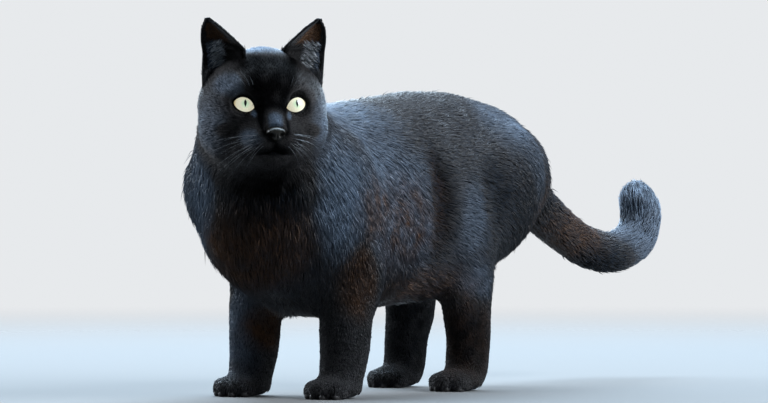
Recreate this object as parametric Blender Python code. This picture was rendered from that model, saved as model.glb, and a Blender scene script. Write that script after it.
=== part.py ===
"""A black domestic cat, life size and standing, built as a still museum model.

The cat stands on four paws with its back a little arched, its head turned to its own left and
its tail hooked up at the end. Every solid reaches out to the tips of the coat.

Frame: -Y is the way the body faces, +X is the cat's left, +Z is up. The soles lie at z = 0 and
the origin is under the middle of the whole model. Lengths are in metres.

The body is first shaped whole: sweeps and ellipsoids overlap, a voxel remesh fuses them and
smoothing blends them. Thin cuts then part it into the pieces that a person would name.
"""

import math

import bmesh
import bpy
import numpy as np
from mathutils import Matrix, Vector

# ---------------------------------------------------------------- driving dimensions

BACK = 0.232  # height of the back over the loin, the highest part of the trunk
WITHERS = 0.219  # height over the shoulders
CHEST_CLEAR = 0.059  # the floor to the underside of the chest
BELLY_CLEAR = 0.066
CHEST_HALF_WIDTH = 0.062
BELLY_HALF_WIDTH = 0.065
CHEST_FRONT_Y = -0.181
RUMP_END_Y = 0.198

FORE_STANCE = 0.042  # half the distance between the two front paws
HIND_STANCE = 0.040
FORE_LEG_Y = -0.1105
HIND_LEFT_Y = 0.057  # the left hind foot stands ahead of the right one
HIND_RIGHT_Y = 0.088
ELBOW_HEIGHT = 0.092
HOCK_HEIGHT = 0.086
WRIST_HEIGHT = 0.030

HEAD_CENTRE = Vector((0.0262, -0.1905, 0.211))
HEAD_TURN = math.radians(48)  # to the cat's left
EYE_APART = 0.0355
EYE_FORWARD = 0.0170  # of the centre of the head, as the next one
EYE_UP = 0.0040
EYE_RADIUS = 0.0106
EYE_OPENING = (0.0160, 0.0130)  # width and height between the lids
NOSE_PAD = (0.0076, 0.0064, 0.0057)  # its half width, half depth and half height
EAR_TIP_UP = 0.068  # also of the centre of the head
EAR_TIP_OUT = 0.0419
EAR_THICKNESS = 0.0022
EAR_TWIST = {1: 0.0, -1: math.radians(24)}  # outwards, of the left and the right ear
EAR_PIVOT = (0.0340, 0.0000)  # x and y that a left ear would twist about

TAIL_RADIUS = 0.0180

GAP = 0.0003  # left between pieces that touch
VOXEL = 0.0022
FINE_TRIANGLES = 11000  # of the fused body, as fine all over as its face stays
TRIANGLES = 3550  # of the fused body, before it is parted


# ---------------------------------------------------------------- helpers for meshes


def clear_scene():
    for obj in list(bpy.data.objects):
        bpy.data.objects.remove(obj)


def coat_material(name, colour, roughness):
    material = bpy.data.materials.new(name)
    material.use_nodes = True
    shader = material.node_tree.nodes["Principled BSDF"]
    shader.inputs["Base Color"].default_value = (*colour, 1.0)
    shader.inputs["Roughness"].default_value = roughness
    return material


def new_object(name, bm):
    """Puts a bmesh into a new object of the scene and frees it."""
    mesh = bpy.data.meshes.new(name)
    bm.to_mesh(mesh)
    bm.free()
    obj = bpy.data.objects.new(name, mesh)
    bpy.context.scene.collection.objects.link(obj)
    return obj


def bmesh_of(obj):
    bm = bmesh.new()
    bm.from_mesh(obj.data)
    return bm


def settle(obj):
    """Applies the object's modifiers to its mesh."""
    bpy.context.view_layer.update()
    graph = bpy.context.evaluated_depsgraph_get()
    mesh = bpy.data.meshes.new_from_object(obj.evaluated_get(graph))
    obj.modifiers.clear()
    obj.data = mesh
    return obj


def ellipsoid(bm, centre, radii, turn=None, facets=(32, 20)):
    """A closed ellipsoid. turn is a rotation matrix for its axes."""
    place = Matrix.Translation(centre) @ (turn or Matrix.Identity(4)) @ Matrix.Diagonal((*radii, 1.0))
    around, up = facets
    bmesh.ops.create_uvsphere(bm, u_segments=around, v_segments=up, radius=1.0, matrix=place)


def catmull_rom(stations, steps):
    """Rows of numbers, with steps - 1 smooth rows put in between each two."""
    rows = np.asarray(stations, float)
    padded = np.vstack([2 * rows[0] - rows[1], rows, 2 * rows[-1] - rows[-2]])
    t = np.linspace(0, 1, steps, endpoint=False)[:, None]
    spans = []
    for a, b, c, d in zip(padded[:-3], padded[1:-2], padded[2:-1], padded[3:]):
        square, cube = 2 * a - 5 * b + 4 * c - d, 3 * b - a - 3 * c + d
        spans.append(0.5 * (2 * b + (c - a) * t + square * t**2 + cube * t**3))
    return np.vstack([*spans, rows[-1:]])


def sweep(bm, stations, pear=0.0, sides=28, steps=5):
    """A closed tube with round ends through (x, y, z, half width, half depth) stations.

    The width is measured along X, as far as the path allows, and the depth at right angles to
    it. A pear of 0.1 makes each section a tenth narrower at its back and wider at its belly.
    """
    rows = catmull_rom(stations, steps)
    path, half = rows[:, :3], rows[:, 3:5]
    tangent = np.gradient(path, axis=0)
    tangent /= np.linalg.norm(tangent, axis=1, keepdims=True)
    side = np.array([1.0, 0.0, 0.0]) - tangent[:, :1] * tangent
    side /= np.linalg.norm(side, axis=1, keepdims=True)
    over = np.cross(side, tangent)
    over *= np.sign(over[:, 2:] + 1e-9 - over[:, 1:2])  # towards the back of the body
    angle = np.linspace(0, 2 * np.pi, sides, endpoint=False)

    def ring(i, lift=0.0, scale=1.0):
        width = half[i, 0] * scale * np.cos(angle) * (1 - pear * np.sin(angle))
        depth = half[i, 1] * scale * np.sin(angle)
        points = path[i] + lift * tangent[i] + np.outer(width, side[i]) + np.outer(depth, over[i])
        return [bm.verts.new(p) for p in points]

    caps = [(math.sin(a), math.cos(a)) for a in np.radians([30, 60, 80])]
    last = len(path) - 1
    end_0, end_1 = half[0].min(), half[last].min()
    rings = [ring(0, -rise * end_0, shrink) for rise, shrink in reversed(caps)]
    rings += [ring(i) for i in range(last + 1)]
    rings += [ring(last, rise * end_1, shrink) for rise, shrink in caps]
    faces = [bm.faces.new(rings[0]), bm.faces.new(rings[-1])]
    for lower, upper in zip(rings, rings[1:]):
        for k in range(sides):
            n = (k + 1) % sides
            faces.append(bm.faces.new((lower[k], lower[n], upper[n], upper[k])))
    bmesh.ops.recalc_face_normals(bm, faces=faces)


def smoothed(obj, weight, rounds):
    """Evens the surface out, where weight(points) is 1, and leaves it alone where that is 0."""
    points = np.empty(len(obj.data.vertices) * 3)
    obj.data.vertices.foreach_get("co", points)
    weights = np.clip(weight(points.reshape(-1, 3)), 0, 1)
    group = obj.vertex_groups.new(name="smooth")
    for level in np.unique(np.round(weights, 1)):
        chosen = np.flatnonzero(np.round(weights, 1) == level)
        group.add([int(i) for i in chosen], float(level), "REPLACE")
    smooth = obj.modifiers.new("Smooth", "SMOOTH")
    smooth.factor = 0.5
    smooth.iterations = rounds
    smooth.vertex_group = group.name
    settle(obj)
    obj.vertex_groups.clear()
    return obj


# ---------------------------------------------------------------- cutting


def half_of(obj, name, point, normal):
    """The part of a closed object on the side that normal points to, as a new object."""
    bm = bmesh_of(obj)
    geometry = bm.verts[:] + bm.edges[:] + bm.faces[:]
    bmesh.ops.bisect_plane(
        bm, geom=geometry, dist=1e-6, plane_co=point, plane_no=normal, clear_inner=True
    )
    open_edges = [edge for edge in bm.edges if edge.is_boundary]
    bmesh.ops.holes_fill(bm, edges=open_edges, sides=0)
    bmesh.ops.triangulate(bm, faces=[face for face in bm.faces if len(face.verts) > 4])
    return new_object(name, bm)


def parted(obj, point, normal, name_ahead, name_behind):
    """Splits an object at a plane, with the gap between the two pieces, and removes it."""
    point, normal = Vector(point), Vector(normal).normalized()
    ahead = half_of(obj, name_ahead, point + normal * GAP / 2, normal)
    behind = half_of(obj, name_behind, point - normal * GAP / 2, -normal)
    bpy.data.objects.remove(obj)
    return ahead, behind


def combined(obj, other, operation):
    """The Boolean of two closed objects, in the first one."""
    boolean = obj.modifiers.new("Boolean", "BOOLEAN")
    boolean.operation = operation
    boolean.solver = "EXACT"
    boolean.object = other
    return settle(obj)


def copy_of(obj, name):
    twin = bpy.data.objects.new(name, obj.data.copy())
    bpy.context.scene.collection.objects.link(twin)
    return twin


def prism(outline, x_from, x_to):
    """A closed block: an outline of (y, z) points carried along X."""
    bm = bmesh.new()
    near = [bm.verts.new((x_from, y, z)) for y, z in outline]
    base = bm.faces.new(near)
    far = bmesh.ops.extrude_face_region(bm, geom=[base])["geom"]
    move = Vector((x_to - x_from, 0, 0))
    bmesh.ops.translate(bm, vec=move, verts=[v for v in far if isinstance(v, bmesh.types.BMVert)])
    bmesh.ops.recalc_face_normals(bm, faces=bm.faces[:])
    return new_object("cutter", bm)


# ---------------------------------------------------------------- the body's forms


def trunk(bm):
    """Chest, belly and rump: one sweep along the spine, given by its top and bottom lines."""
    profile = (
        # y, top, bottom, half width
        (CHEST_FRONT_Y + 0.034, 0.196, CHEST_CLEAR + 0.014, CHEST_HALF_WIDTH - 0.010),
        (-0.115, WITHERS - 0.006, CHEST_CLEAR, CHEST_HALF_WIDTH),
        (-0.065, WITHERS + 0.002, CHEST_CLEAR + 0.002, CHEST_HALF_WIDTH),
        (-0.009, BACK - 0.005, BELLY_CLEAR - 0.001, BELLY_HALF_WIDTH - 0.001),
        (0.042, BACK + 0.001, BELLY_CLEAR + 0.004, BELLY_HALF_WIDTH),
        (0.088, BACK + 0.002, BELLY_CLEAR + 0.022, BELLY_HALF_WIDTH - 0.005),
        (0.129, BACK - 0.006, BELLY_CLEAR + 0.044, BELLY_HALF_WIDTH - 0.011),
        (RUMP_END_Y - 0.034, BACK - 0.019, BELLY_CLEAR + 0.056, BELLY_HALF_WIDTH - 0.024),
    )
    stations = [(0, y, (top + low) / 2, width, (top - low) / 2) for y, top, low, width in profile]
    sweep(bm, stations, pear=0.10)


def neck(bm):
    """From between the shoulders up to the back of the head, with the ruff under the throat."""
    nape = HEAD_CENTRE + Vector((-0.012, 0.012, -0.004))
    sweep(
        bm,
        (
            (0, -0.102, 0.160, 0.056, 0.058),
            (-0.003, -0.139, 0.172, 0.062, 0.056),
            (*nape, 0.046, 0.044),
        ),
    )
    ellipsoid(bm, (-0.005, -0.154, 0.156), (0.066, 0.039, 0.053))


def foreleg(bm, side, shoulder_y):
    """Shoulder, upper arm and forearm. side is 1 for the left leg and -1 for the right one."""
    x, y = side * FORE_STANCE, FORE_LEG_Y
    ellipsoid(bm, (side * 0.041, shoulder_y, 0.146), (0.029, 0.047, 0.056))
    sweep(
        bm,
        (
            (side * 0.042, shoulder_y - 0.002, 0.130, 0.025, 0.031),
            (side * 0.043, y + 0.009, ELBOW_HEIGHT + 0.002, 0.0220, 0.0280),
            (x, y + 0.002, 0.062, 0.0200, 0.0215),
            (x, y, 0.036, 0.0188, 0.0190),
            (x, y - 0.004, 0.016, 0.0170, 0.0165),
        ),
    )
    paw(bm, x, y - 0.011, 0.0182)


def thigh_y(foot_y):
    """Where the middle of the thigh is: it shifts half as far as the foot does."""
    return 0.0635 + 0.5 * foot_y


def hindleg(bm, side, y, hock_back):
    """Thigh, shank and upright foot. y is where the foot stands, and hock_back shifts the hock."""
    x, middle = side * HIND_STANCE, thigh_y(y)
    tilt = Matrix.Rotation(math.radians(30), 4, "X")
    ellipsoid(bm, (side * 0.037, middle, 0.152), (0.029, 0.071, 0.052), tilt)
    profile = (
        # height, half width, front, back
        (0.100, 0.0205, hock_back - 0.0300, hock_back + 0.0285),
        (0.074, 0.0180, hock_back - 0.0250, hock_back + 0.0270),
        (0.058, 0.0172, hock_back / 2 - 0.0215, hock_back + 0.0245),
        (0.040, 0.0168, -0.0185, 0.0190),
        (0.016, 0.0165, -0.0185, 0.0145),
    )
    stations = [(x, y + (a + b) / 2, z, width, (b - a) / 2) for z, width, a, b in profile]
    upper = (
        (side * 0.034, middle + 0.010, 0.158, 0.024, 0.040),
        (side * 0.043, middle - 0.042, 0.130, 0.022, 0.038),
    )
    sweep(bm, (*upper, *stations))
    paw(bm, x, y - 0.013, 0.0178)


def paw(bm, x, y, half_width):
    """A pad with four toes in an arc in front of it."""
    ellipsoid(bm, (x, y, 0.0080), (half_width, 0.024, 0.0105))
    for place, reach in ((-0.68, -0.013), (-0.24, -0.019), (0.24, -0.019), (0.68, -0.013)):
        centre = (x + place * half_width, y + reach, 0.0060)
        ellipsoid(bm, centre, (half_width * 0.33, 0.0095, 0.0088))


def tail(bm):
    """Down from the rump, level for a stretch, then hooked up."""
    r = TAIL_RADIUS
    y, z = RUMP_END_Y, 0.105
    sweep(
        bm,
        (
            (0, y - 0.038, z + 0.078, r * 1.15, r * 1.40),
            (0, y - 0.011, z + 0.058, r * 1.12, r * 1.30),
            (0, y + 0.016, z + 0.037, r * 1.05, r * 1.12),
            (0, y + 0.054, z + 0.018, r, r),
            (0, y + 0.093, z + 0.003, r, r),
            (0, y + 0.135, z - 0.001, r, r),
            (0, y + 0.169, z + 0.010, r * 1.04, r * 1.04),
            (0, y + 0.178, z + 0.030, r * 1.04, r * 1.04),
            (0, y + 0.172, z + 0.043, r * 0.95, r * 0.95),
        ),
    )


# ---------------------------------------------------------------- the head


def head_place():
    """Turns the head's own axes, which face -Y, to where the head stands."""
    return Matrix.Translation(HEAD_CENTRE) @ Matrix.Rotation(HEAD_TURN, 4, "Z")


def head(bm):
    """Skull, cheeks, muzzle and chin, in the head's own axes and then put in place."""
    own = bmesh.new()
    ellipsoid(own, (0, 0.006, 0.004), (0.0475, 0.042, 0.041))  # skull
    ellipsoid(own, (0, -0.012, 0.016), (0.030, 0.023, 0.023))  # forehead
    ellipsoid(own, (0, 0.003, 0.0300), (0.0250, 0.0270, 0.0185))  # crown
    ellipsoid(own, (0, -0.008, -0.024), (0.034, 0.031, 0.018))  # jaw
    ellipsoid(own, (0, -0.022, -0.018), (0.026, 0.022, 0.018))  # root of the muzzle
    sweep(
        own,
        (
            (0, -0.0135, 0.018, 0.017, 0.0140),
            (0, -0.0250, 0.004, 0.0125, 0.0105),
            (0, -0.0370, -0.0078, 0.0098, 0.0086),
            (0, -0.0400, -0.0115, 0.0088, 0.0074),
        ),
    )  # bridge of the nose
    ellipsoid(own, (0, -0.0315, -0.0335), (0.0145, 0.0122, 0.0092))  # chin
    for side in (-1, 1):
        ellipsoid(own, (side * 0.0240, 0.001, -0.012), (0.0240, 0.028, 0.026))  # cheek
        ellipsoid(own, (side * 0.0150, -0.0150, 0.0190), (0.0160, 0.0150, 0.0120))  # brow
        eyeball = (side * EYE_APART / 2, -EYE_FORWARD, EYE_UP)
        ellipsoid(own, eyeball, (EYE_RADIUS + 0.0030, EYE_RADIUS + 0.0022, EYE_RADIUS + 0.0026))
        ellipsoid(own, (side * 0.0096, -0.0350, -0.0215), (0.0122, 0.0128, 0.0100))  # lip pad
    own.transform(head_place())
    whole = bpy.data.meshes.new("head forms")
    own.to_mesh(whole)
    own.free()
    bm.from_mesh(whole)


def ear(name, side):
    """A shell that opens forwards and outwards: its outer edge is upright, its inner one slants."""
    across, levels = 9, (0.012, 0.022, 0.032, 0.042, 0.050, 0.0570, 0.0620, 0.0650, 0.0670)
    bm = bmesh.new()
    rows = []
    for z in levels:
        below_tip = EAR_TIP_UP - z
        rounding = 0.0052 * (1 - math.exp(-below_tip / 0.0045))
        outer = EAR_TIP_OUT + rounding - 0.10 * max(below_tip - 0.017, 0)
        inner = max(EAR_TIP_OUT - 0.0246 * (below_tip / 0.019) ** 0.83, 0.0130)
        hollow = 0.0020 + 0.0100 * (below_tip / EAR_TIP_UP) ** 0.8
        lean = 0.45 * (max(z, 0.044) - 0.049)  # forwards, in the upper part
        u = np.linspace(-1, 1, across)
        x = inner + (outer - inner) * (u + 1) / 2
        y = -0.0030 - lean + hollow * (1 - u * u) + 0.30 * (x - 0.030)
        slope = np.gradient(y, x)
        half = EAR_THICKNESS / 2 / np.hypot(slope, 1)
        ring_x = np.concatenate([x + slope * half, (x - slope * half)[::-1]]) - EAR_PIVOT[0]
        ring_y = np.concatenate([y - half, (y + half)[::-1]]) - EAR_PIVOT[1]
        twist = EAR_TWIST[side] * min(max((z - 0.016) / 0.026, 0), 1)
        c, s = math.cos(twist), math.sin(twist)
        twisted_x = EAR_PIVOT[0] + ring_x * c - ring_y * s
        twisted_y = EAR_PIVOT[1] + ring_x * s + ring_y * c
        rows.append([bm.verts.new((side * a, b, z)) for a, b in zip(twisted_x, twisted_y)])
    for low, high in zip(rows, rows[1:]):
        for k in range(2 * across):
            n = (k + 1) % (2 * across)
            bm.faces.new((low[k], low[n], high[n], high[k]))
    for end in (rows[0], rows[-1]):
        for k in range(across - 1):
            bm.faces.new((end[k], end[k + 1], end[-2 - k], end[-1 - k]))
    bmesh.ops.recalc_face_normals(bm, faces=bm.faces[:])
    bm.transform(head_place())
    return new_object(name, bm)


def eye(name, side, radius):
    bm = bmesh.new()
    place = (side * EYE_APART / 2, -EYE_FORWARD, EYE_UP)
    bmesh.ops.create_uvsphere(bm, u_segments=14, v_segments=9, radius=radius)
    bm.transform(head_place() @ Matrix.Translation(place) @ Matrix.Rotation(math.pi / 2, 4, "X"))
    return new_object(name, bm)


def eye_opening(side):
    """The almond between the lids, carried forwards from inside the eyeball."""
    width, height = EYE_OPENING
    bm = bmesh.new()
    outline = []
    for t in np.linspace(0, 2 * math.pi, 20, endpoint=False):
        x, z = width / 2 * math.cos(t), height / 2 * math.sin(t) * (1 - 0.18 * math.cos(t) ** 2)
        outline.append(bm.verts.new((x, 0, z)))
    base = bm.faces.new(outline)
    far = bmesh.ops.extrude_face_region(bm, geom=[base])["geom"]
    ends = [v for v in far if isinstance(v, bmesh.types.BMVert)]
    bmesh.ops.translate(bm, vec=(0, -0.03, 0), verts=ends)
    bmesh.ops.recalc_face_normals(bm, faces=bm.faces[:])
    slant = Matrix.Rotation(side * math.radians(-8), 4, "Y")
    outwards = Matrix.Rotation(side * math.radians(12), 4, "Z")
    place = Matrix.Translation((side * EYE_APART / 2, -EYE_FORWARD, EYE_UP))
    bm.transform(head_place() @ place @ outwards @ slant)
    return new_object("cutter", bm)


def nose_pad(name, grow):
    bm = bmesh.new()
    radii = [half + grow for half in NOSE_PAD]
    ellipsoid(bm, (0, -0.0440, -0.0150), radii, facets=(12, 8))
    bm.transform(head_place())
    return new_object(name, bm)


# ---------------------------------------------------------------- building


def fused_body():
    """Every form of flesh but the ears, fused, blended and thinned to few triangles."""
    bm = bmesh.new()
    trunk(bm)
    neck(bm)
    foreleg(bm, 1, FORE_LEG_Y - 0.011)
    foreleg(bm, -1, FORE_LEG_Y - 0.018)
    hindleg(bm, 1, HIND_LEFT_Y, -0.004)
    hindleg(bm, -1, HIND_RIGHT_Y, 0.005)
    tail(bm)
    head(bm)
    body = new_object("body", bm)
    remesh = body.modifiers.new("Remesh", "REMESH")
    remesh.mode = "VOXEL"
    remesh.voxel_size = VOXEL
    settle(body)

    centre = np.array(HEAD_CENTRE)

    def big_forms(points):
        """1 on the trunk and upper legs, and nearly 0 on the head and paws."""
        from_head = np.linalg.norm(points - centre, axis=1)
        return np.minimum((from_head - 0.046) / 0.035, (points[:, 2] - 0.022) / 0.050)

    smoothed(body, big_forms, 40)
    smoothed(body, lambda points: np.ones(len(points)), 3)
    thinned(body, FINE_TRIANGLES)
    thinned(body, TRIANGLES, plain_parts(body, centre))
    standing = half_of(body, "standing", Vector((0, 0, 0)), Vector((0, 0, 1)))
    bpy.data.objects.remove(body)
    return standing


def plain_parts(body, centre):
    """A vertex group of all but the face, which keeps its finer triangles."""
    group = body.vertex_groups.new(name="plain")
    points = np.array([vertex.co for vertex in body.data.vertices])
    face = centre + 0.024 * np.array([math.sin(HEAD_TURN), -math.cos(HEAD_TURN), -0.2])
    plain = np.linalg.norm(points - face, axis=1) > 0.036
    group.add(np.flatnonzero(plain).tolist(), 1.0, "REPLACE")
    return group.name


def thinned(obj, triangles, group=""):
    """Leaves about so many triangles, by merging those that matter least inside the group."""
    decimate = obj.modifiers.new("Decimate", "DECIMATE")
    decimate.ratio = triangles / sum(len(face.vertices) - 2 for face in obj.data.polygons)
    decimate.use_collapse_triangulate = True
    decimate.vertex_group = group
    return settle(obj)


def minus(obj, cutter):
    """Cuts the cutter out of the object and removes the cutter."""
    combined(obj, cutter, "DIFFERENCE")
    bpy.data.objects.remove(cutter)
    return obj


def inflated(obj):
    """A copy whose surface lies one gap further out."""
    twin = copy_of(obj, "cutter")
    displace = twin.modifiers.new("Displace", "DISPLACE")
    displace.strength = GAP
    displace.mid_level = 0
    return settle(twin)


def offset(outline, distance):
    """A closed outline moved outwards by a distance, or inwards by a negative one."""
    points = np.array(outline)
    ahead, behind = np.roll(points, -1, axis=0), np.roll(points, 1, axis=0)
    along = ahead - behind
    along /= np.linalg.norm(along, axis=1, keepdims=True)
    turned = np.column_stack([along[:, 1], -along[:, 0]])
    area = np.sum(points[:, 0] * ahead[:, 1] - points[:, 1] * ahead[:, 0])
    return (points + turned * distance * np.sign(area)).tolist()


def leg_parted(body, name, side, outline, inner_x):
    """Takes a leg, which is all inside an outline seen from the side, off the body."""
    reach = 0.12

    def block(grow):
        ends = sorted((side * (inner_x - grow), side * reach))
        return prism(offset(outline, grow), *ends)

    leg = copy_of(body, name)
    inside = block(-GAP / 2)
    combined(leg, inside, "INTERSECT")
    bpy.data.objects.remove(inside)
    minus(body, block(GAP / 2))
    return leg


def leg_outline(front, back, centre, radii):
    """A leg from its side: upright edges from the floor, and an ellipse round its upper part."""
    y, z = centre
    under = -0.02
    arch = [
        (y - radii[0] * math.cos(t), z + radii[1] * math.sin(t))
        for t in np.radians(np.linspace(-20, 200, 17))
    ]
    return [(front, under), (front, z / 2), *arch, (back, z / 2), (back, under)]


def build():
    body = fused_body()
    into_head = Vector((0.307, -0.795, 0.523))
    head_node, body = parted(body, HEAD_CENTRE - 0.027 * into_head, into_head, "head", "body")
    tail_node, body = parted(body, (0, RUMP_END_Y + 0.004, 0.150), (0, 0.9, -0.43), "tail", "body")
    tail_end, _ = parted(tail_node, (0, 0.278, 0.11), (0, 1, -0.25), "tail_end", "tail_base")
    parted(tail_end, (0, 0.344, 0.11), (0, 1, 0.15), "tail_tip", "tail_middle")

    fore = leg_outline(-0.166, -0.082, (-0.123, 0.132), (0.047, 0.062))
    for side, word in ((1, "left"), (-1, "right")):
        foot_y = HIND_LEFT_Y if side > 0 else HIND_RIGHT_Y
        leg = leg_parted(body, "leg", side, fore, 0.020)
        _, lower = parted(leg, (0, 0, ELBOW_HEIGHT), (0, 0, 1), "shoulder_" + word, "lower")
        parted(lower, (0, 0, WRIST_HEIGHT), (0, 0, 1), "forearm_" + word, "front_paw_" + word)
        hind = leg_outline(
            foot_y - 0.048, foot_y + 0.037, (thigh_y(foot_y), 0.142), (0.085, 0.062)
        )
        leg = leg_parted(body, "leg", side, hind, 0.018)
        _, lower = parted(leg, (0, 0, HOCK_HEIGHT), (0, 0, 1), "thigh_" + word, "lower")
        parted(lower, (0, 0, WRIST_HEIGHT), (0, 0, 1), "shank_" + word, "hind_paw_" + word)

    _, body = parted(body, (0, -0.139, 0.185), (0, -0.6, 0.8), "neck", "body")
    _, body = parted(body, (0, 0.100, 0.15), (0, 1, 0), "rump", "body")
    parted(body, (0, -0.045, 0.15), (0, 1, 0), "belly", "chest")

    for side, word in ((1, "left"), (-1, "right")):
        minus(head_node, eye("cutter", side, EYE_RADIUS + GAP))
        minus(head_node, eye_opening(side))
        eye("eye_" + word, side, EYE_RADIUS)
    minus(head_node, nose_pad("cutter", GAP))
    nose_pad("nose", 0)
    for side, word in ((1, "left"), (-1, "right")):
        minus(ear("ear_" + word, side), inflated(head_node))


def centre_on_floor():
    """Moves all the pieces so that the origin is under the middle of the whole model."""
    pieces = list(bpy.data.objects)
    points = np.array([v.co for piece in pieces for v in piece.data.vertices])
    middle = (points.min(axis=0) + points.max(axis=0)) / 2
    for piece in pieces:
        piece.data.transform(Matrix.Translation((-middle[0], -middle[1], 0)))


def colour():
    """Black coat all over, with black leather on the nose and pale yellow-green eyes."""
    coat = coat_material("coat", (0.018, 0.019, 0.022), 0.60)
    leather = coat_material("nose_leather", (0.012, 0.012, 0.014), 0.35)
    iris = coat_material("eye", (0.62, 0.66, 0.30), 0.08)
    for piece in bpy.data.objects:
        material = {"nose": leather, "eye_": iris}.get(piece.name[:4], coat)
        piece.data.materials.clear()
        piece.data.materials.append(material)
        piece.data.shade_smooth()
        piece.data.set_sharp_from_angle(angle=math.radians(60))


def main():
    clear_scene()
    build()
    centre_on_floor()
    colour()


main()
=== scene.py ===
# %% [markdown]
# # A black domestic cat
# A life-size cat stands on four feet with its back arched, its head turned to its own left and
# its tail hooked up. The solids of the frame give every size. Here they are dressed: one skin,
# eyes with lids, a nose, ears, and a coat of many thousand small tufts.
#
# ## The frame

# %% Frame
import math
from contextlib import contextmanager

import bmesh
import bpy
import numpy as np
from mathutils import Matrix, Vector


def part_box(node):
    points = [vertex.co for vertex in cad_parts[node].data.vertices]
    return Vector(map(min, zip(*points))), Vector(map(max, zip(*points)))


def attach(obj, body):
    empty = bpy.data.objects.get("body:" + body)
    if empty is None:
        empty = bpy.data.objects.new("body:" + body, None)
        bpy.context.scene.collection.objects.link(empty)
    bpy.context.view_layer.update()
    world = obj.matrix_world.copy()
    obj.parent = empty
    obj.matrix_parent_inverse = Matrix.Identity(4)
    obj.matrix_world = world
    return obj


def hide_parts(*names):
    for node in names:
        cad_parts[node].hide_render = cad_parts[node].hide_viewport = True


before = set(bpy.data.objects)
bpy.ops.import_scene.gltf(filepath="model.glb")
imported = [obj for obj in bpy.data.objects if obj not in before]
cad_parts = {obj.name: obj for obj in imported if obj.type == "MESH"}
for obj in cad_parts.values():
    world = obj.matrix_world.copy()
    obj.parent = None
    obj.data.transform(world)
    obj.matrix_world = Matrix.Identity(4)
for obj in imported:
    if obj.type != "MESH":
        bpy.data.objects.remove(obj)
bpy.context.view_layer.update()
FULL = 1.0  # share of the tufts that is made
UP = np.array([0.0, 0.0, 1.0])

# %% [markdown]
# ## The head's own axes
# The head is turned, so its features are easier to place in axes of its own: x towards its
# left ear, f towards the nose and z up. The two eyeballs of the frame say where those lie.

# %% Head axes


def middle_of(node):
    low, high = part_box(node)
    return (np.array(low) + np.array(high)) / 2


EYE_FORWARD, EYE_UP = 0.0170, 0.0040
EYE_RADIUS = 0.0104
eye_l, eye_r = middle_of("eye_left"), middle_of("eye_right")
EYE_SIDE = np.linalg.norm(eye_l - eye_r) / 2
ACROSS = (eye_l - eye_r) / np.linalg.norm(eye_l - eye_r)
AHEAD = np.cross(ACROSS, UP)
HEAD = (eye_l + eye_r) / 2 - EYE_FORWARD * AHEAD - EYE_UP * UP
HEAD_AXES = np.array([ACROSS, AHEAD, UP])
SIDES = {"left": 1, "right": -1}
NOSE_TIP = np.array([0.0, 0.0500, -0.0135])


def in_head(points):
    """Row-frame points as (x, f, z) of the head: the offset from its centre, along each axis."""
    return (np.asarray(points) - HEAD) @ HEAD_AXES.T


def from_head(points):
    """The way back: centre plus x, f and z times their axes."""
    return HEAD + np.asarray(points) @ HEAD_AXES


def eye_middle(side):
    """In head axes; side is +1 for the left eye and -1 for the right one."""
    return np.array([side * EYE_SIDE, EYE_FORWARD, EYE_UP])


print("head centre", HEAD.round(4), "eyes apart", round(2 * EYE_SIDE, 4))

# %% [markdown]
# ## Small tools
# A soft step, a bell, a mix of two values and a sum of a few sine waves are all that shapes the
# coat. Meshes are filled from whole arrays: points, then faces as rows of point numbers.

# %% Tools


def unit(v):
    return v / np.maximum(np.linalg.norm(v, axis=-1, keepdims=True), 1e-12)


def step(x, low, high):
    """0 below low, 1 above high, and 3t^2 - 2t^3 in between. low may be the larger one."""
    t = np.clip((x - low) / (high - low), 0, 1)
    return t * t * (3 - 2 * t)


def mix(a, b, share):
    """a where share is 0 and b where it is 1."""
    return a * (1 - share) + b * share


def bell(x, half):
    """1 at x = 0, and falling off to 0.37 at half."""
    return np.exp(-((x / half) ** 2))


def waves(points, size, seed):
    """A smooth irregular value near -1 to 1: the mean of 8 sine waves about size long."""
    rng = np.random.default_rng(seed)
    ways = unit(rng.normal(size=(8, 3))) * (2 * np.pi / size) * rng.uniform(0.6, 1.5, (8, 1))
    return np.sin(points @ ways.T + rng.uniform(0, 2 * np.pi, 8)).mean(axis=1) * 1.8


def new_object(name, data):
    obj = bpy.data.objects.new(name, data)
    bpy.context.scene.collection.objects.link(obj)
    return obj


def mesh_object(name, points, faces):
    """A smooth object whose faces all have the same number of corners."""
    faces = np.asarray(faces, dtype=np.int32)
    mesh = bpy.data.meshes.new(name)
    mesh.vertices.add(len(points))
    mesh.vertices.foreach_set("co", np.asarray(points, dtype=np.float32).ravel())
    mesh.loops.add(faces.size)
    mesh.loops.foreach_set("vertex_index", faces.ravel())
    mesh.polygons.add(len(faces))
    mesh.polygons.foreach_set("loop_start", np.arange(len(faces), dtype=np.int32) * faces.shape[1])
    mesh.polygons.foreach_set("use_smooth", np.full(len(faces), True))
    mesh.update(calc_edges=True)
    mesh.validate()
    return new_object(name, mesh)


def grid_triangles(rows, columns, wrap_rows=False):
    """Triangles of a grid of points, numbered row by row, whose columns go all round."""
    r = np.arange(rows if wrap_rows else rows - 1)[:, None]
    c = np.arange(columns)[None, :]
    r2, c2 = (r + 1) % rows, (c + 1) % columns
    corners = (r * columns + c, r * columns + c2, r2 * columns + c2, r2 * columns + c)
    quads = np.stack([k.ravel() for k in np.broadcast_arrays(*corners)], axis=1)
    return np.vstack([quads[:, [0, 1, 2]], quads[:, [0, 2, 3]]])


@contextmanager
def opened(mesh):
    """A bmesh to edit a mesh with, which is written back at the end."""
    bm = bmesh.new()
    bm.from_mesh(mesh)
    yield bm
    bm.to_mesh(mesh)
    bm.free()


def joined(name, meshes):
    """One object from several meshes, which are removed with their own objects."""
    whole = bpy.data.meshes.new(name)
    with opened(whole) as bm:
        for mesh in meshes:
            bm.from_mesh(mesh)
            bpy.data.meshes.remove(mesh)
    return new_object(name, whole)


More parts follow.
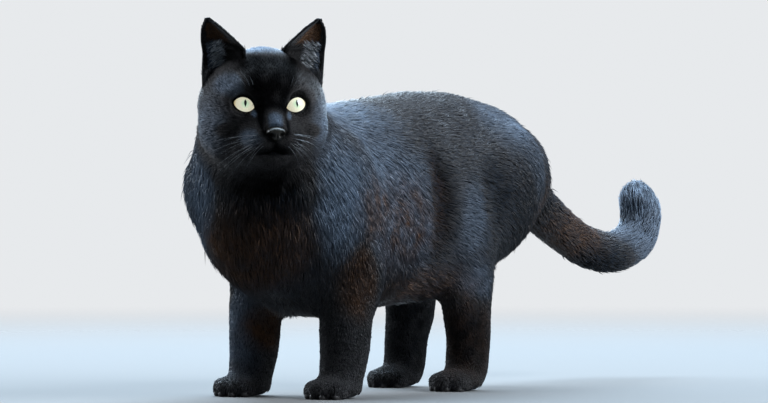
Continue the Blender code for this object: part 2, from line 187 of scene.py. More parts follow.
def closed_grid(name, grid, wrap_rows=False):
    """A closed surface from a (rows, columns, 3) grid. Its end rows, if any, are shut by fans."""
    rows, columns = grid.shape[:2]
    triangles = grid_triangles(rows, columns, wrap_rows)
    points = grid.reshape(-1, 3)
    if not wrap_rows:
        k = np.arange(columns)
        n, base, first = (k + 1) % columns, (rows - 1) * columns, len(points)
        low = np.stack([n, k, np.full(columns, first)], axis=1)
        high = np.stack([base + k, base + n, np.full(columns, first + 1)], axis=1)
        triangles = np.vstack([triangles, low, high])
        points = np.vstack([points, grid[0].mean(axis=0), grid[-1].mean(axis=0)])
    obj = mesh_object(name, points, triangles)
    with opened(obj.data) as bm:
        bmesh.ops.remove_doubles(bm, verts=bm.verts[:], dist=1e-7)
        bmesh.ops.recalc_face_normals(bm, faces=bm.faces[:])
    return obj


def polar_grid(values, sides):
    """Two grids: the given values, by row, and the angle round, by column."""
    return np.meshgrid(values, np.linspace(0, 2 * np.pi, sides, endpoint=False), indexing="ij")


def read(collection, field, width, kind=np.float32):
    """The values of a mesh's points, edges or triangles, one row each."""
    values = np.empty(len(collection) * width, kind)
    collection.foreach_get(field, values)
    return values.reshape(-1, width)


def points_of(mesh):
    return read(mesh.vertices, "co", 3).astype(float)


def normals_of(mesh):
    return read(mesh.vertex_normals, "vector", 3).astype(float)


def edges_of(mesh):
    return read(mesh.edges, "vertices", 2, np.int32)


def move_points(mesh, points):
    mesh.vertices.foreach_set("co", points.astype(np.float32).ravel())
    mesh.update()


def folded(points):
    """The points with x taken outward, so that both sides of the cat are treated alike."""
    return np.column_stack([np.abs(points[:, 0]), points[:, 1:]])


def add_values(obj, name, values):
    """A value for each point, which a material reads by its name."""
    values = np.asarray(values, dtype=np.float32)
    kind, field = ("FLOAT", "value") if values.ndim == 1 else ("FLOAT_VECTOR", "vector")
    layer = obj.data.attributes.new(name, kind, "POINT")
    layer.data.foreach_set(field, values.ravel())


def dressed(obj, material, slot, *nodes):
    """Gives a piece its material and body, and hides the solids that it stands for. slot is not used."""
    obj.data.materials.clear()
    obj.data.materials.append(material)
    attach(obj, "root")
    if nodes:
        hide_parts(*nodes)
    return obj


# %% [markdown]
# ## Where the coat is long
# Fur is shortest on the nose and the feet and longest on the chest, belly and tail. One
# function gives its length at any point, and the skin lies about a quarter of that deeper than
# the solids.

# %% Length of the coat
NECK_AXIS = np.array([0.307, -0.795, 0.523])  # from the shoulders into the head
NECK_POINT = HEAD - 0.027 * NECK_AXIS
TAIL_START = 0.120  # y
FORE_Y, LEFT_HIND_Y, RIGHT_HIND_Y = -0.1907, -0.0232, 0.0078  # y of the legs


def head_share(points):
    """1 on the head, 0 behind the neck, and a soft step of 3 cm in between."""
    return step((points - NECK_POINT) @ NECK_AXIS, -0.016, 0.014)


def leg_share(points):
    """1 from the elbow and hock down, on the legs and not on the trunk between them."""
    x, y, z = points.T
    hind_y = np.where(x > 0, LEFT_HIND_Y, RIGHT_HIND_Y)
    near = np.minimum(np.abs(y - FORE_Y), np.abs(y - hind_y))
    column = step(near, 0.050, 0.030) * step(np.abs(x), 0.012, 0.020)
    return column * step(z, 0.125, 0.070)


def tail_share(points):
    return step(points[:, 1], TAIL_START - 0.025, TAIL_START + 0.015)


def coat_length(points):
    """Length in metres: a value for the trunk, mixed with those for legs, tail and head."""
    x, y, z = points.T
    trunk = 0.0130 + 0.0025 * step(z, 0.13, 0.08) + 0.0040 * step(y, -0.20, -0.25)
    leg, tail = 0.0034 + 0.0045 * step(z, 0.025, 0.11), 0.0140
    length = mix(mix(trunk, leg, leg_share(points)), tail, tail_share(points))
    q = in_head(points)
    from_nose = np.linalg.norm((q - NOSE_TIP) * [1, 1, 1.1], axis=1)
    head = 0.0016 + 0.0062 * step(from_nose, 0.008, 0.075)
    head += 0.0035 * step(np.abs(q[:, 0]), 0.026, 0.044) * step(q[:, 2], 0.010, -0.012)
    head += 0.0030 * step(q[:, 2], -0.030, -0.044)
    return mix(length, head, head_share(points))


DEPTH = 0.27  # of its length, is how high the lying coat stands over the skin
sample = np.array([[0, -0.05, 0.23], HEAD + 0.045 * AHEAD, [0.042, -0.2, 0.01]])
print("coat on back, muzzle and foot:", coat_length(sample).round(4))

# %% [markdown]
# ## One skin
# The solids are separate pieces with thin gaps. Copies of them are puffed up by a hair so that
# they overlap, fused by a voxel remesh and evened out. Creases between them are filled, most of
# all at the neck. Then the skin is drawn in by the depth of the coat, and the fold before the
# thigh is pressed in. The face gets finer quads, because the mouth and its folds are small.

# %% Skin
GROWN, VOXEL = 0.00025, 0.0022


def grown_copy(node):
    """A copy of the node's mesh, merged and grown by GROWN."""
    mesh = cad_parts[node].data.copy()
    with opened(mesh) as bm:
        bmesh.ops.remove_doubles(bm, verts=bm.verts[:], dist=1e-6)
        bm.normal_update()
        for vertex in bm.verts:
            vertex.co += vertex.normal * GROWN
    return mesh


def pull(points, edges):
    """From each point to the mean of its neighbours along the edges."""
    a, b = edges.T
    ends, others = np.r_[a, b], points[np.r_[b, a]]
    count = np.bincount(ends, minlength=len(points))
    total = np.stack([np.bincount(ends, column, len(points)) for column in others.T], axis=1)
    return total / count[:, None] - points


def evened(points, edges, weight, rounds, back=0.0):
    """Moves each point half way to the mean of its neighbours, times its weight, many times.

    back, a little over 0.5, moves it away again after each round, so that forms keep their size
    and only the roughness goes.
    """
    for share in [0.5, -back] * rounds if back else [0.5] * rounds:
        points = points + share * weight[:, None] * pull(points, edges)
    return points


def filled(points, edges, normals, weight, rounds):
    """Hollows filled: a point moves half way to its neighbours' mean, if that lies outside it."""
    for _ in range(rounds):
        toward = pull(points, edges)
        outside = (toward * normals).sum(axis=1) > 0
        points = points + 0.5 * (weight * outside)[:, None] * toward
    return points


FOLD_AT, FOLD_HALF, FOLD_DEEP = np.array([0.062, -0.088, 0.150]), [0.030, 0.011, 0.046], 0.0045
FACE, SOCKET, MUZZLE = ([0, 0.030, -0.008], 0.041), ([0, 0.025, 0.004], 0.0125), ([0, 0.040, -0.020], 0.015)
FLESH = [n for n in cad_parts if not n.startswith(("eye", "ear", "nose"))]
skin = joined("skin", [grown_copy(name) for name in (*FLESH, "eye_left", "eye_right", "nose")])
remesh = skin.modifiers.new("Remesh", "REMESH")
remesh.mode = "VOXEL"
remesh.voxel_size = VOXEL
graph = bpy.context.evaluated_depsgraph_get()
skin.data = bpy.data.meshes.new_from_object(skin.evaluated_get(graph))
skin.modifiers.clear()


def finer(mesh, spots):
    """Halves the edges that lie wholly within one of the spots, each a middle and a radius."""
    with opened(mesh) as bm:
        bm.verts.ensure_lookup_table()
        found = np.array([v.co for v in bm.verts])
        within = [np.linalg.norm(found - middle, axis=1) < radius for middle, radius in spots]
        fine = [e for e in bm.edges
                if any(near[e.verts[0].index] and near[e.verts[1].index] for near in within)]
        bmesh.ops.subdivide_edges(bm, edges=fine, cuts=1, use_grid_fill=True)


finer(skin.data, [(from_head(FACE[0]), FACE[1])])
finer(skin.data, [(from_head(SOCKET[0] + np.array([x, 0, 0])), SOCKET[1]) for x in (-EYE_SIDE, EYE_SIDE)]
      + [(from_head(MUZZLE[0]), MUZZLE[1])])
points, edges = points_of(skin.data), edges_of(skin.data)
everywhere = np.ones(len(points))
points = evened(points, edges, everywhere, 3)
points = evened(points, edges, everywhere, 24, back=0.52)
move_points(skin.data, points)
q = in_head(points)
far = np.linalg.norm(q, axis=1)
on_face = step(q[:, 1], 0.012, 0.024) * step(q[:, 2], -0.052, -0.044) * (far < 0.075)
off_face = 1 - on_face
above_feet = step(points[:, 2], 0.020, 0.045)
for weight, rounds in ((off_face * above_feet, 14), (step(far, 0.095, 0.075) * off_face, 160)):
    points = filled(points, edges, normals_of(skin.data), weight, rounds)
move_points(skin.data, points)
pressed = FOLD_DEEP * np.exp(-(((folded(points) - FOLD_AT) / FOLD_HALF) ** 2).sum(axis=1))
points = points - normals_of(skin.data) * (DEPTH * coat_length(points) + pressed)[:, None]
print("skin:", len(points), "points,", len(skin.data.polygons), "faces")

# %% [markdown]
# ## Eye sockets, mouth and nose
# The skin stays closed and passes behind each eyeball. Within the almond of the lids it is
# pushed to a smaller radius than the ball, and just outside it is held a little above the ball,
# so the ball sits in a real socket. The mouth and the groove under the nose are pressed in.

# %% Face shape
SOLE_UP = 0.0006  # the skin's lowest height
LID_TURN, LID_RISE, LID_SLANT = (math.radians(a) for a in (12, 8, 16))
LID_LONG, LID_TOP, LID_LOW = 0.0082, 0.0058, 0.0056
ROUND_EYE = 0.020  # how far from an eye's axis the skin counts as round that eye


def eye_axes(side, turn=LID_TURN, rise=LID_RISE, slant=LID_SLANT):
    """Outward, forward and up of one eye, in head axes.

    Forward is turned away from the nose by turn and up by rise, and the outer corner is raised
    by slant about that way.
    """
    out = np.array([side * math.cos(turn), -math.sin(turn), 0.0])
    level = np.array([side * math.sin(turn), math.cos(turn), 0.0])
    ahead = level * math.cos(rise) + UP * math.sin(rise)
    above = UP * math.cos(rise) - level * math.sin(rise)
    tilted = out * math.cos(slant) + above * math.sin(slant)
    return np.array([tilted, ahead, above * math.cos(slant) - out * math.sin(slant)])


def lid_height(u):
    """Half height of the opening at u, from -1 inner to 1 outer corner: (top, bottom)."""
    u = np.clip(u, -1, 1)
    arch = (1 - np.abs(u) ** 2.2) ** 0.70
    return LID_TOP * arch * (1 + 0.04 * u), LID_LOW * arch * (1 - 0.08 * u)


def outside_lids(q, side):
    """Metres outside the almond, seen along the eye's own axis: negative inside.

    Also how far ahead of the eye's middle each point lies, and how far from its axis.
    """
    out, ahead, up = ((q - eye_middle(side)) @ eye_axes(side).T).T
    top, low = lid_height(out / LID_LONG)
    over = np.maximum(np.where(up > 0, up - top, -up - low), np.abs(out) - LID_LONG)
    return over, ahead, np.hypot(out, up)


def ball_height(radius, flat):
    """How far ahead of its middle a ball of that radius lies, at flat from its axis."""
    return np.sqrt(np.maximum(radius**2 - flat**2, 0))


MOUTH_HALF, MOUTH_UP = 0.0115, -0.0306
MOUTH_DEEP, SPLIT_DEEP, TEAR_DEEP = 0.0026, 0.0016, 0.0012


def mouth_line(x):
    """Height of the closed mouth: two shallow bows that meet in the middle and turn up at last."""
    t = np.abs(x) / MOUTH_HALF
    return MOUTH_UP + 0.0018 * (1 - step(t, 0.0, 0.6)) + 0.0008 * step(t, 0.75, 1.1)


def tear_line(q):
    """1 along the fold that runs down from the inner corner of each eye beside the bridge."""
    x, f, z = q.T
    fold_x = 0.0098 - 0.0022 * step(z, -0.006, -0.018)
    share = bell(np.abs(x) - fold_x, 0.0013)
    return share * step(z, 0.0015, -0.0020) * step(z, -0.0185, -0.0150) * (f > 0.015)


def socketed(q, side, press):
    """Points pressed along the eye's axis: behind the ball within the almond, just over the ball
    at its edge, rising from there by 0.5 of the distance, and left alone from 6 mm on."""
    over, ahead, flat = outside_lids(q, side)
    edge = ball_height(EYE_RADIUS, np.minimum(flat, LID_LONG + 0.0004))
    held = edge + 0.0004 + 0.5 * np.maximum(over, 0)
    share = step(over, 0.0060, 0.0008) if press else (over < 0.0012)
    target = ahead + (held - ahead) * share
    target = target if press else np.maximum(target, ahead)
    target = np.where(over < 0.0001, ball_height(EYE_RADIUS - 0.0015, flat), target)
    front = (ahead > 0.0005) & (flat < ROUND_EYE)
    return q + np.where(front, target - ahead, 0)[:, None] * eye_axes(side)[1]


q = in_head(points)
for side in SIDES.values():
    q = socketed(q, side, press=True)
    over, ahead, flat = outside_lids(q, side)
    ring = step(over, 0.0002, 0.0012) * step(over, 0.0095, 0.0065) * (ahead > 0.0) * (flat < 0.022)
    q = evened(q, edges, ring, 14)
    q = socketed(q, side, press=False)

NOSE_MIDDLE, NOSE_HALF = np.array([0, 0.0446, -0.0163]), np.array([0.0073, 0.0062, 0.0054])
NOSE_BACK = 0.025  # f


def from_pad(q):
    """Distance from the middle of the nose as seen from in front: 1 at its edge."""
    return np.hypot(q[:, 0] / NOSE_HALF[0], (q[:, 2] - NOSE_MIDDLE[2]) / NOSE_HALF[2])


f, far = q[:, 1], from_pad(q)
bed = np.where(far < 1, NOSE_HALF[1] * np.sqrt(np.maximum(1 - far**2, 0)) - 0.0016,
               0.0060 * (far - 1) - 0.0008)
bed += NOSE_MIDDLE[1] - 0.0045 * step(far, 1.0, 0.75)
q[:, 1] = np.where((f > NOSE_BACK) & (far < 1.8), np.minimum(f, bed), f)
q = evened(q, edges, step(far, 0.9, 1.1) * step(far, 2.0, 1.6) * (q[:, 1] > NOSE_BACK), 6)

x, f, z = q.T
front = step(f, 0.018, 0.026)
groove = bell(z - mouth_line(x), 0.0012)
groove *= step(np.abs(x), MOUTH_HALF + 0.002, MOUTH_HALF - 0.002) * front
split = bell(x, 0.0011) * step(z, -0.0290, -0.0270) * step(z, -0.0170, -0.0200) * front
q[:, 1] -= MOUTH_DEEP * groove + SPLIT_DEEP * split + TEAR_DEEP * tear_line(q)
points = from_head(q)
points[:, 2] = np.maximum(points[:, 2], SOLE_UP)
move_points(skin.data, points)
normals = normals_of(skin.data)
print("opening of an eye:", 2 * LID_LONG, "by", LID_TOP + LID_LOW)

# %% [markdown]
# ## The lie of the coat
# Hair grows away from the nose over the head, back along the trunk, down the chest and legs,
# and along the tail. A few anchors say the way at one place each. Every point takes their mean,
# weighted by nearness, and only the part of it along the skin is used.

# %% Lie of the coat
LIE = np.array([  # x, y, z and reach in millimetres, then the way; x is outward on both sides
    (0, -130, 222, 45, 0, 1, -0.12),  # withers
    (0, -20, 232, 50, 0, 1, -0.02),  # back
    (0, 80, 205, 45, 0, 0.85, -0.50),  # croup
    (55, -40, 180, 45, 0, 1, -0.24),  # upper flank
    (55, -40, 125, 40, 0, 0.95, -0.38),  # lower flank
    (0, -60, 85, 40, 0, 1, -0.05),  # belly
    (55, -165, 160, 40, 0, 0.55, -0.85),  # shoulder
    (0, -245, 135, 45, 0, 0.15, -1),  # chest
    (45, -225, 180, 40, 0.15, 0.45, -0.90),  # side of the neck
    (60, 50, 155, 45, 0, 0.50, -0.88),  # thigh
    (50, 30, 105, 35, 0, 0.20, -1),  # knee
    (0, 120, 130, 35, 0, 0.10, -1),  # under the tail
    (42, -190, 60, 40, 0, 0.12, -1),  # forearm
    (40, -10, 55, 40, 0, 0.12, -1),  # shank
    (42, -200, 6, 16, 0, -1, -0.40),  # fore foot
    (40, -40, 6, 18, 0, -1, -0.40),  # left hind foot
    (40, -10, 6, 18, 0, -1, -0.40),  # right hind foot
])
TAIL = np.array([  # y and z along the middle of the tail
    (0.0798, 0.183), (0.1068, 0.163), (0.1338, 0.142), (0.1718, 0.123), (0.2108, 0.108),
    (0.2528, 0.104), (0.2868, 0.115), (0.2958, 0.135), (0.2898, 0.148),
])


def lie(points):
    """The way the hair points, not yet laid on the skin: head, tail and anchors, blended."""
    outward = np.ones_like(points)
    outward[:, 0] = np.tanh(points[:, 0] / 0.012)
    total = np.zeros_like(points)
    for row in LIE:
        weight = bell(np.linalg.norm(folded(points) - row[:3] / 1000, axis=1), row[3] / 1000) + 1e-9
        total += weight[:, None] * outward * row[4:]
    total = unit(total)
    middles, along = (TAIL[1:] + TAIL[:-1]) / 2, unit(TAIL[1:] - TAIL[:-1])
    gap = np.linalg.norm(points[:, None, 1:] - middles[None], axis=2)
    mean = unit((bell(gap, 0.016) + 1e-9) @ along)
    on_tail = np.stack([np.zeros(len(points)), mean[:, 0], mean[:, 1]], axis=1)
    total = mix(total, on_tail, tail_share(points)[:, None])
    q = in_head(points)
    away = unit(q - [0, 0.052, -0.016])
    for side in SIDES.values():
        from_eye = q - eye_middle(side)
        close = step(np.linalg.norm(from_eye, axis=1), 0.0165, 0.0105)[:, None]
        away = unit(away * (1 - close) + unit(from_eye) * close * 1.4)
    return unit(mix(total, away @ HEAD_AXES, head_share(points)[:, None]))


def laid(ways, normals):
    """The part of each way along the skin, made one long again."""
    return unit(ways - normals * (ways * normals).sum(axis=1, keepdims=True))


def bend_of_skin(points, normals, edges, ways):
    """How fast the skin turns away along the hair, in 1/m: the change of normal per length.

    For each edge it is (normal change . edge) / length^2, and a point takes the mean of its
    edges, weighted by how well each follows the hair.
    """
    a, b = edges.T
    along = points[b] - points[a]
    length = np.maximum(np.linalg.norm(along, axis=1), 1e-9)
    turn = ((normals[b] - normals[a]) * along).sum(axis=1) / length**2
    total, count = np.zeros(len(points)), np.zeros(len(points))
    for end in (a, b):
        weight = ((along / length[:, None]) * ways[end]).sum(axis=1) ** 2
        total += np.bincount(end, weight * turn, len(points))
        count += np.bincount(end, weight, len(points))
    return total / np.maximum(count, 1e-9)


edges = edges_of(skin.data)
mostly = np.full(len(points), 0.9)
soft_normals = unit(evened(normals, edges, mostly, 6))
ways = laid(lie(points), soft_normals)
bends = bend_of_skin(points, soft_normals, edges, ways)
bends = evened(bends[:, None], edges, mostly, 10)[:, 0]
print("skin bends, in 1/m:", np.percentile(bends, [5, 50, 95]).round(1))

# %% [markdown]
# ## Markings, painted sheen and painted shade
# The coat is black, and it has weathered to brown in places. Each place is a soft ellipsoid. The
# coat's sheen of cool light, and its shade in folds, hollows and under the head, are painted into
# its colour by places of the same kind. A place of painted sheen or shade more than 55 mm out from
# the middle is there on both sides of the cat. Skin and tufts take their colour from the same
# function, so a mark never slides between them.

# %% Markings


def ellipsoids(*rows):
    """From rows in millimetres: x, y, z and the three half sizes, and then the strength."""
    rows = np.array(rows)
    return list(zip(rows[:, :3] / 1000, rows[:, 3:6] / 1000, rows[:, 6]))


RUST = ellipsoids(  # 1 is brown all through
    (15, -262, 112, 50, 32, 36, 1.0),  # chest
    (-22, -200, 50, 22, 22, 18, 1.0),  # right wrist
    (66, -180, 139, 26, 32, 28, 0.60),  # behind the shoulder
    (62, -138, 128, 26, 46, 42, 0.60),  # flank
    (61, -90, 147, 20, 12, 44, 0.7),  # fold before the thigh
    (61, -197, 86, 20, 18, 30, 0.75),  # elbow
    (45, 84, 128, 40, 44, 36, 0.60),  # seat
    (15, 165, 115, 24, 56, 30, 0.50),  # root of the tail
    (51, -40, 40, 26, 28, 34, 0.5),  # left shank
    (50, -90, 80, 40, 60, 20, 0.5),  # edge of the belly
)
PAINTED_LIGHT = ellipsoids(  # strength below 0 paints shade and makes the coat duller, above 0 paints the coat's sheen of cool light
    (62, -88, 150, 24, 15, 56, -1.25),  # fold before the thigh
    (64, -14, 155, 24, 24, 30, -0.75),  # hollow of the thigh
    (63, 20, 140, 22, 20, 46, -0.30),  # back of the thigh
    (26, -275, 155, 40, 50, 26, -1.0),  # throat
    (22, -262, 112, 46, 40, 40, -0.60),  # chest
    (61, -197, 90, 16, 13, 26, -0.35),  # elbow
    (-46, -212, 45, 26, 20, 36, 0.45),  # right forearm
    (50, -208, 36, 26, 24, 40, -0.15),  # left forearm
    (51, -40, 40, 26, 28, 34, -0.90),  # left shank
    (-28, -4, 40, 30, 50, 50, -0.85),  # right hind leg
    (13, 215, 94, 26, 50, 18, -0.90),  # under the tail
    (64, -225, 150, 30, 30, 54, 0.75),  # shoulder
    (64, -150, 150, 34, 60, 50, 0.62),  # flank
    (64, -130, 115, 34, 50, 30, 0.36),  # lower flank
    (0, -60, 232, 55, 150, 40, -0.06),  # along the back
    (12, -165, 235, 36, 40, 30, 0.25),  # nape
    (64, -48, 130, 20, 22, 36, 0.35),  # front of the thigh
    (58, 45, 185, 40, 44, 46, 0.22),  # rump
    (58, -34, 82, 20, 22, 20, 0.40),  # knee
    (26, -165, 207, 44, 56, 34, 0.36),  # withers
    (34, 26, 208, 30, 40, 30, 0.25),  # croup
    (-32, -268, 150, 26, 30, 40, 0.55),  # right side of the neck
    (-50, -230, 90, 26, 30, 60, 0.30),  # right shoulder
    (0, 292, 136, 50, 58, 64, 0.52),  # hook of the tail
)
BOTH_SIDES = 0.055  # places further out than this are there on both sides
FACE_PAINTED_LIGHT = ellipsoids(  # in head axes; painted shade below 0, painted highlight and sheen above 0
    (-31, 20, -13.5, 8, 16, 5, -0.35),  # hollow of the cheeks
    (31, 20, -13.5, 8, 16, 5, -0.35),
    (0, 40, -29, 16, 16, 4.5, -1.0),  # mouth
    (0, 42, -22.5, 4, 10, 6, -0.9),  # groove under the nose
    (0, 20, -53, 40, 40, 15, -1.1),  # under the chin: painted shade
    (0, -10, 49, 30, 40, 14, 0.65),  # crown: painted highlight of the light from above
    (0, 42, -7, 6, 16, 9, 0.75),  # bridge of the nose
    (-30, 22, 20, 14, 16, 9, 0.40),  # brows
    (30, 22, 20, 14, 16, 9, 0.0),
    (-42, 12, -10, 14, 24, 24, 0.22),  # cheeks
    (42, 12, -10, 14, 24, 24, 0.35),
    (-13, 34, -0.5, 2.6, 10, 4, 1.2),  # inner corners of the eyes: painted highlights
    (11.2, 36, -3, 2.6, 10, 4, 1.2),
    (-18, 40, -19, 9, 14, 7, 0.40),  # lip pads
    (18, 40, -19, 9, 14, 7, -0.50),
)


def inside(points, place, half):
    """1 deep inside an ellipsoid, 0 outside, and a soft step between."""
    return step(np.linalg.norm((points - place) / half, axis=1), 1.3, 0.3)


def rust(points):
    """0 for black and 1 for brown: the largest of the soft places, roughened by waves."""
    share = np.max([inside(points, place, half) * strength for place, half, strength in RUST], axis=0)
    return np.clip(share * (1 + 0.45 * waves(points, 0.018, 7)), 0, 1)


def painted_forehead_shade(q):
    """1 in the wedge of painted shade between the brows, which widens upwards from 11 mm half width."""
    x, f, z = q.T
    wide = 0.0105 + 0.42 * np.maximum(z - 0.005, 0)
    wedge = step(np.abs(x), wide + 0.005, wide - 0.005) * (f > -0.005)
    return wedge * step(z, -0.004, 0.005) * step(z, 0.0425, 0.0375)


def painted_shade_beside_nose(q):
    """1 in the strips of painted shade down both sides of the bridge."""
    x, f, z = q.T
    share = bell(np.abs(x) - 0.0092, 0.0024) * (f > 0.015)
    return share * step(z, 0.0060, 0.0020) * step(z, -0.0200, -0.0150)


def summed(points, given):
    return sum(inside(points, place, half) * strength for place, half, strength in given)


def painted_light_and_pale(points):
    """0 painted darkest shade, 0.5 plain black, 1 painted sheen: half of 1 plus all places that apply."""
    q = in_head(points)
    total = summed(folded(points), [row for row in PAINTED_LIGHT if row[0][0] > BOTH_SIDES])
    total += summed(points, [row for row in PAINTED_LIGHT if row[0][0] <= BOTH_SIDES])
    on_face = summed(q, FACE_PAINTED_LIGHT) - painted_forehead_shade(q) - painted_shade_beside_nose(q)
    total = mix(total, on_face, head_share(points))
    return np.clip(0.5 + 0.5 * total * (1 + 0.25 * waves(points, 0.014, 9)), 0, 1)


# %% [markdown]
# ## Tufts
# A tuft is a flat spindle: a root in the skin, a ring of three points and a tip, six triangles
# in all. It rises from the skin and levels out, and it follows the skin as that turns away.
# Roots are drawn over the skin's triangles in proportion to area and wanted density.

# %% Tufts


def pick_roots(points, triangles, density, seed):
    """Places on the triangles, evenly spread: triangle numbers and corner weights.

    The wanted counts are added up over all triangles. Each tuft takes an equal step of that sum,
    at a random place in its step, so that no part is left bare by chance.
    """
    rng = np.random.default_rng(seed)
    a, b, c = (points[triangles[:, k]] for k in range(3))
    area = np.linalg.norm(np.cross(b - a, c - a), axis=1) / 2
    total = np.cumsum(area * density[triangles].mean(axis=1))
    count = int(total[-1] * FULL)
    at = (np.arange(count) + rng.random(count)) / count * total[-1]
    chosen = np.minimum(np.searchsorted(total, at), len(triangles) - 1)
    u, v = rng.random(count), rng.random(count)
    flip = u + v > 1
    u, v = np.where(flip, 1 - u, u), np.where(flip, 1 - v, v)
    return chosen, np.stack([1 - u - v, u, v], axis=1)


def mixed(values, triangles, chosen, weights):
    """A value at each root, from its triangle's corners."""
    corners = values[triangles[chosen]]
    return np.einsum("nk,nk...->n...", weights, corners)


MIDDLE = 0.42  # where along its length a tuft is widest
THREE = np.radians([90, 210, 330])  # ring of three points


def tuft_points(roots, out, ways, length, height, width, bend):
    """Five points for each tuft.

    At share s of its length the tuft is L s along the skin and H (1 - (1 - s)^2) above it, less
    the bend of the skin times (L s)^2 / 2. The ring lies about its middle, flat to the skin.
    """
    def at(s):
        lift = height * (1 - (1 - s) ** 2) - bend * (length * s) ** 2 / 2
        return roots + ways * (length * s)[:, None] + out * lift[:, None]

    middle, tip = at(MIDDLE), at(1.0)
    along = unit(tip - roots)
    side = unit(np.cross(along, out))
    top = np.cross(side, along)
    ring = [middle + side * (width / 2 * math.cos(t))[:, None]
            + top * (width * 0.32 * math.sin(t))[:, None] for t in THREE]
    return np.stack([roots - out * 0.0004, *ring, tip], axis=1)


SPINDLE = np.array([[0, 2, 1], [0, 3, 2], [0, 1, 3], [4, 1, 2], [4, 2, 3], [4, 3, 1]])
PATCH = 0.003 * np.array([[-0.5, 0.0], [0.0, 0.25], [-0.1, -0.3], [0.1, -0.1], [0.5, 0.0]])


def chart_places(roots, out):
    """A place in 0 to 1 for each root: the skin seen along its nearest axis.

    There are 12 charts: six ways that the skin can face, for each side of the cat. Each is the
    roots' own box, fitted to one cell of a grid of 4 by 3.
    """
    axis = np.argmax(np.abs(out), axis=1)
    facing = np.take_along_axis(out, axis[:, None], axis=1)[:, 0] > 0
    cell = axis * 4 + facing * 2 + (roots[:, 0] > 0)
    low, high = roots.min(axis=0), roots.max(axis=0)
    share = (roots - low) / np.maximum(high - low, 1e-6)
    flat = np.stack([share[:, 1], share[:, 2]], axis=1)
    flat[axis == 1] = share[axis == 1][:, [0, 2]]
    flat[axis == 2] = share[axis == 2][:, [0, 1]]
    corner = np.stack([cell % 4, cell // 4], axis=1)
    return (corner + 0.03 + 0.94 * flat) / [4, 3]


def coat_piece(name, roots, out, ways, length, height, width, bend, tone, material, slot="coat",
               marks=None):
    """One object of all these tufts, with a patch of the OFBake map for each.

    marks are the painted light level and the brown, or else both are read where the tuft's middle lies.
    """
    body = tuft_points(roots, out, ways, length, height, width, bend)
    body[..., 2] = np.maximum(body[..., 2], 0.0005 + 0.0004 * np.array([0, 2, 1, 1, 0]))
    count = len(roots)
    faces = (SPINDLE[None] + 5 * np.arange(count)[:, None, None]).reshape(-1, 3)
    obj = mesh_object(name, body.reshape(-1, 3), faces)
    add_values(obj, "tone", np.repeat(tone, 5))
    seen = roots + ways * (0.55 * length)[:, None]
    for name_of, value in zip(("painted_light_and_pale", "rust"), marks or (painted_light_and_pale(seen), rust(seen))):
        add_values(obj, name_of, np.repeat(value, 5))
    add_values(obj, "along", np.tile([0, MIDDLE, MIDDLE, MIDDLE, 1], count))
    places = (chart_places(roots, out)[:, None, :] + PATCH[None]).reshape(-1, 2)
    layer = obj.data.uv_layers.new(name="OFBake")
    layer.data.foreach_set("uv", places[faces.ravel()].astype(np.float32).ravel())
    dressed(obj, material, slot)
    print(f"{name}: {count} tufts, {len(obj.data.polygons)} triangles")
    return obj


# %% [markdown]
# ## Finishes of coat and skin
# Black hair is nearly without colour of its own. What is seen is its gloss, which takes up the
# cool light from above; that sheen and the coat's shade are also painted into its colour. One node
# group gives the colour of hair and skin alike, from the tone of the tuft, the brown of its place
# and the painted light and shade, and each material adds its own shader.

# %% Coat materials


def node(tree, kind, mode=None, **inputs):
    """A new node. An input goes by its name, or as _0 by number, and is a value or a socket."""
    made = tree.nodes.new("ShaderNode" + kind)
    if kind == "Mix":
        made.data_type = mode
    elif mode:
        made.operation = mode
    for key, value in inputs.items():
        socket = made.inputs[int(key[1:]) if key[0] == "_" else key.replace("_", " ")]
        if isinstance(value, bpy.types.NodeSocket):
            tree.links.new(value, socket)
        else:
            socket.default_value = value
    return made


def ranged(tree, source, low, high, to_low, to_high):
    return node(tree, "MapRange", Value=source, From_Min=low, From_Max=high, To_Min=to_low,
                To_Max=to_high).outputs["Result"]


def worked_out(tree, operation, a, b=0.0, clamp=False):
    made = node(tree, "Math", operation, _0=a, _1=b)
    made.use_clamp = clamp
    return made.outputs["Value"]


def scaled(tree, colour, value):
    return node(tree, "VectorMath", "SCALE", _0=colour, Scale=value).outputs["Vector"]


def blended(tree, factor, a, b):
    return node(tree, "Mix", "RGBA", Factor=factor, A=a, B=b).outputs["Result"]


def stored(tree, name, output="Fac"):
    """A value that add_values has put on the points."""
    made = node(tree, "Attribute")
    made.attribute_name = name
    return made.outputs[output]


def object_place(tree):
    return node(tree, "TexCoord").outputs["Object"]


def cloud(tree, scale, detail, **inputs):
    """Noise over the object's own coordinates, unless another Vector is given."""
    inputs.setdefault("Vector", object_place(tree))
    return node(tree, "TexNoise", Scale=scale, Detail=detail, **inputs).outputs["Fac"]


def bumped(tree, height, strength, distance):
    return node(tree, "Bump", Height=height, Strength=strength, Distance=distance).outputs["Normal"]


def material_with_shader(name, **inputs):
    material = bpy.data.materials.new(name)
    material.use_nodes = True
    tree = material.node_tree
    shader = tree.nodes["Principled BSDF"]
    for key, value in inputs.items():
        shader.inputs[key.replace("_", " ")].default_value = value
    return material, tree, shader


def feed(tree, shader, **sockets):
    for key, socket in sockets.items():
        tree.links.new(socket, shader.inputs[key.replace("_", " ")])


def bands_of_colour(tree, place, bands):
    """A colour ramp with exactly these (place, colour) stops."""
    ramp = node(tree, "ValToRGB", Fac=place)
    stops = ramp.color_ramp.elements
    stops.remove(stops[1])
    for number, (at, colour) in enumerate(bands):
        stop = stops[0] if number == 0 else stops.new(at)
        stop.position, stop.color = at, (*colour, 1)
    return ramp.outputs["Color"]


COLOURS, VALUES = ("Black", "Painted_Sheen_And_Pale", "Brown"), ("Rust", "Tone", "Along", "Painted_Light_And_Pale")


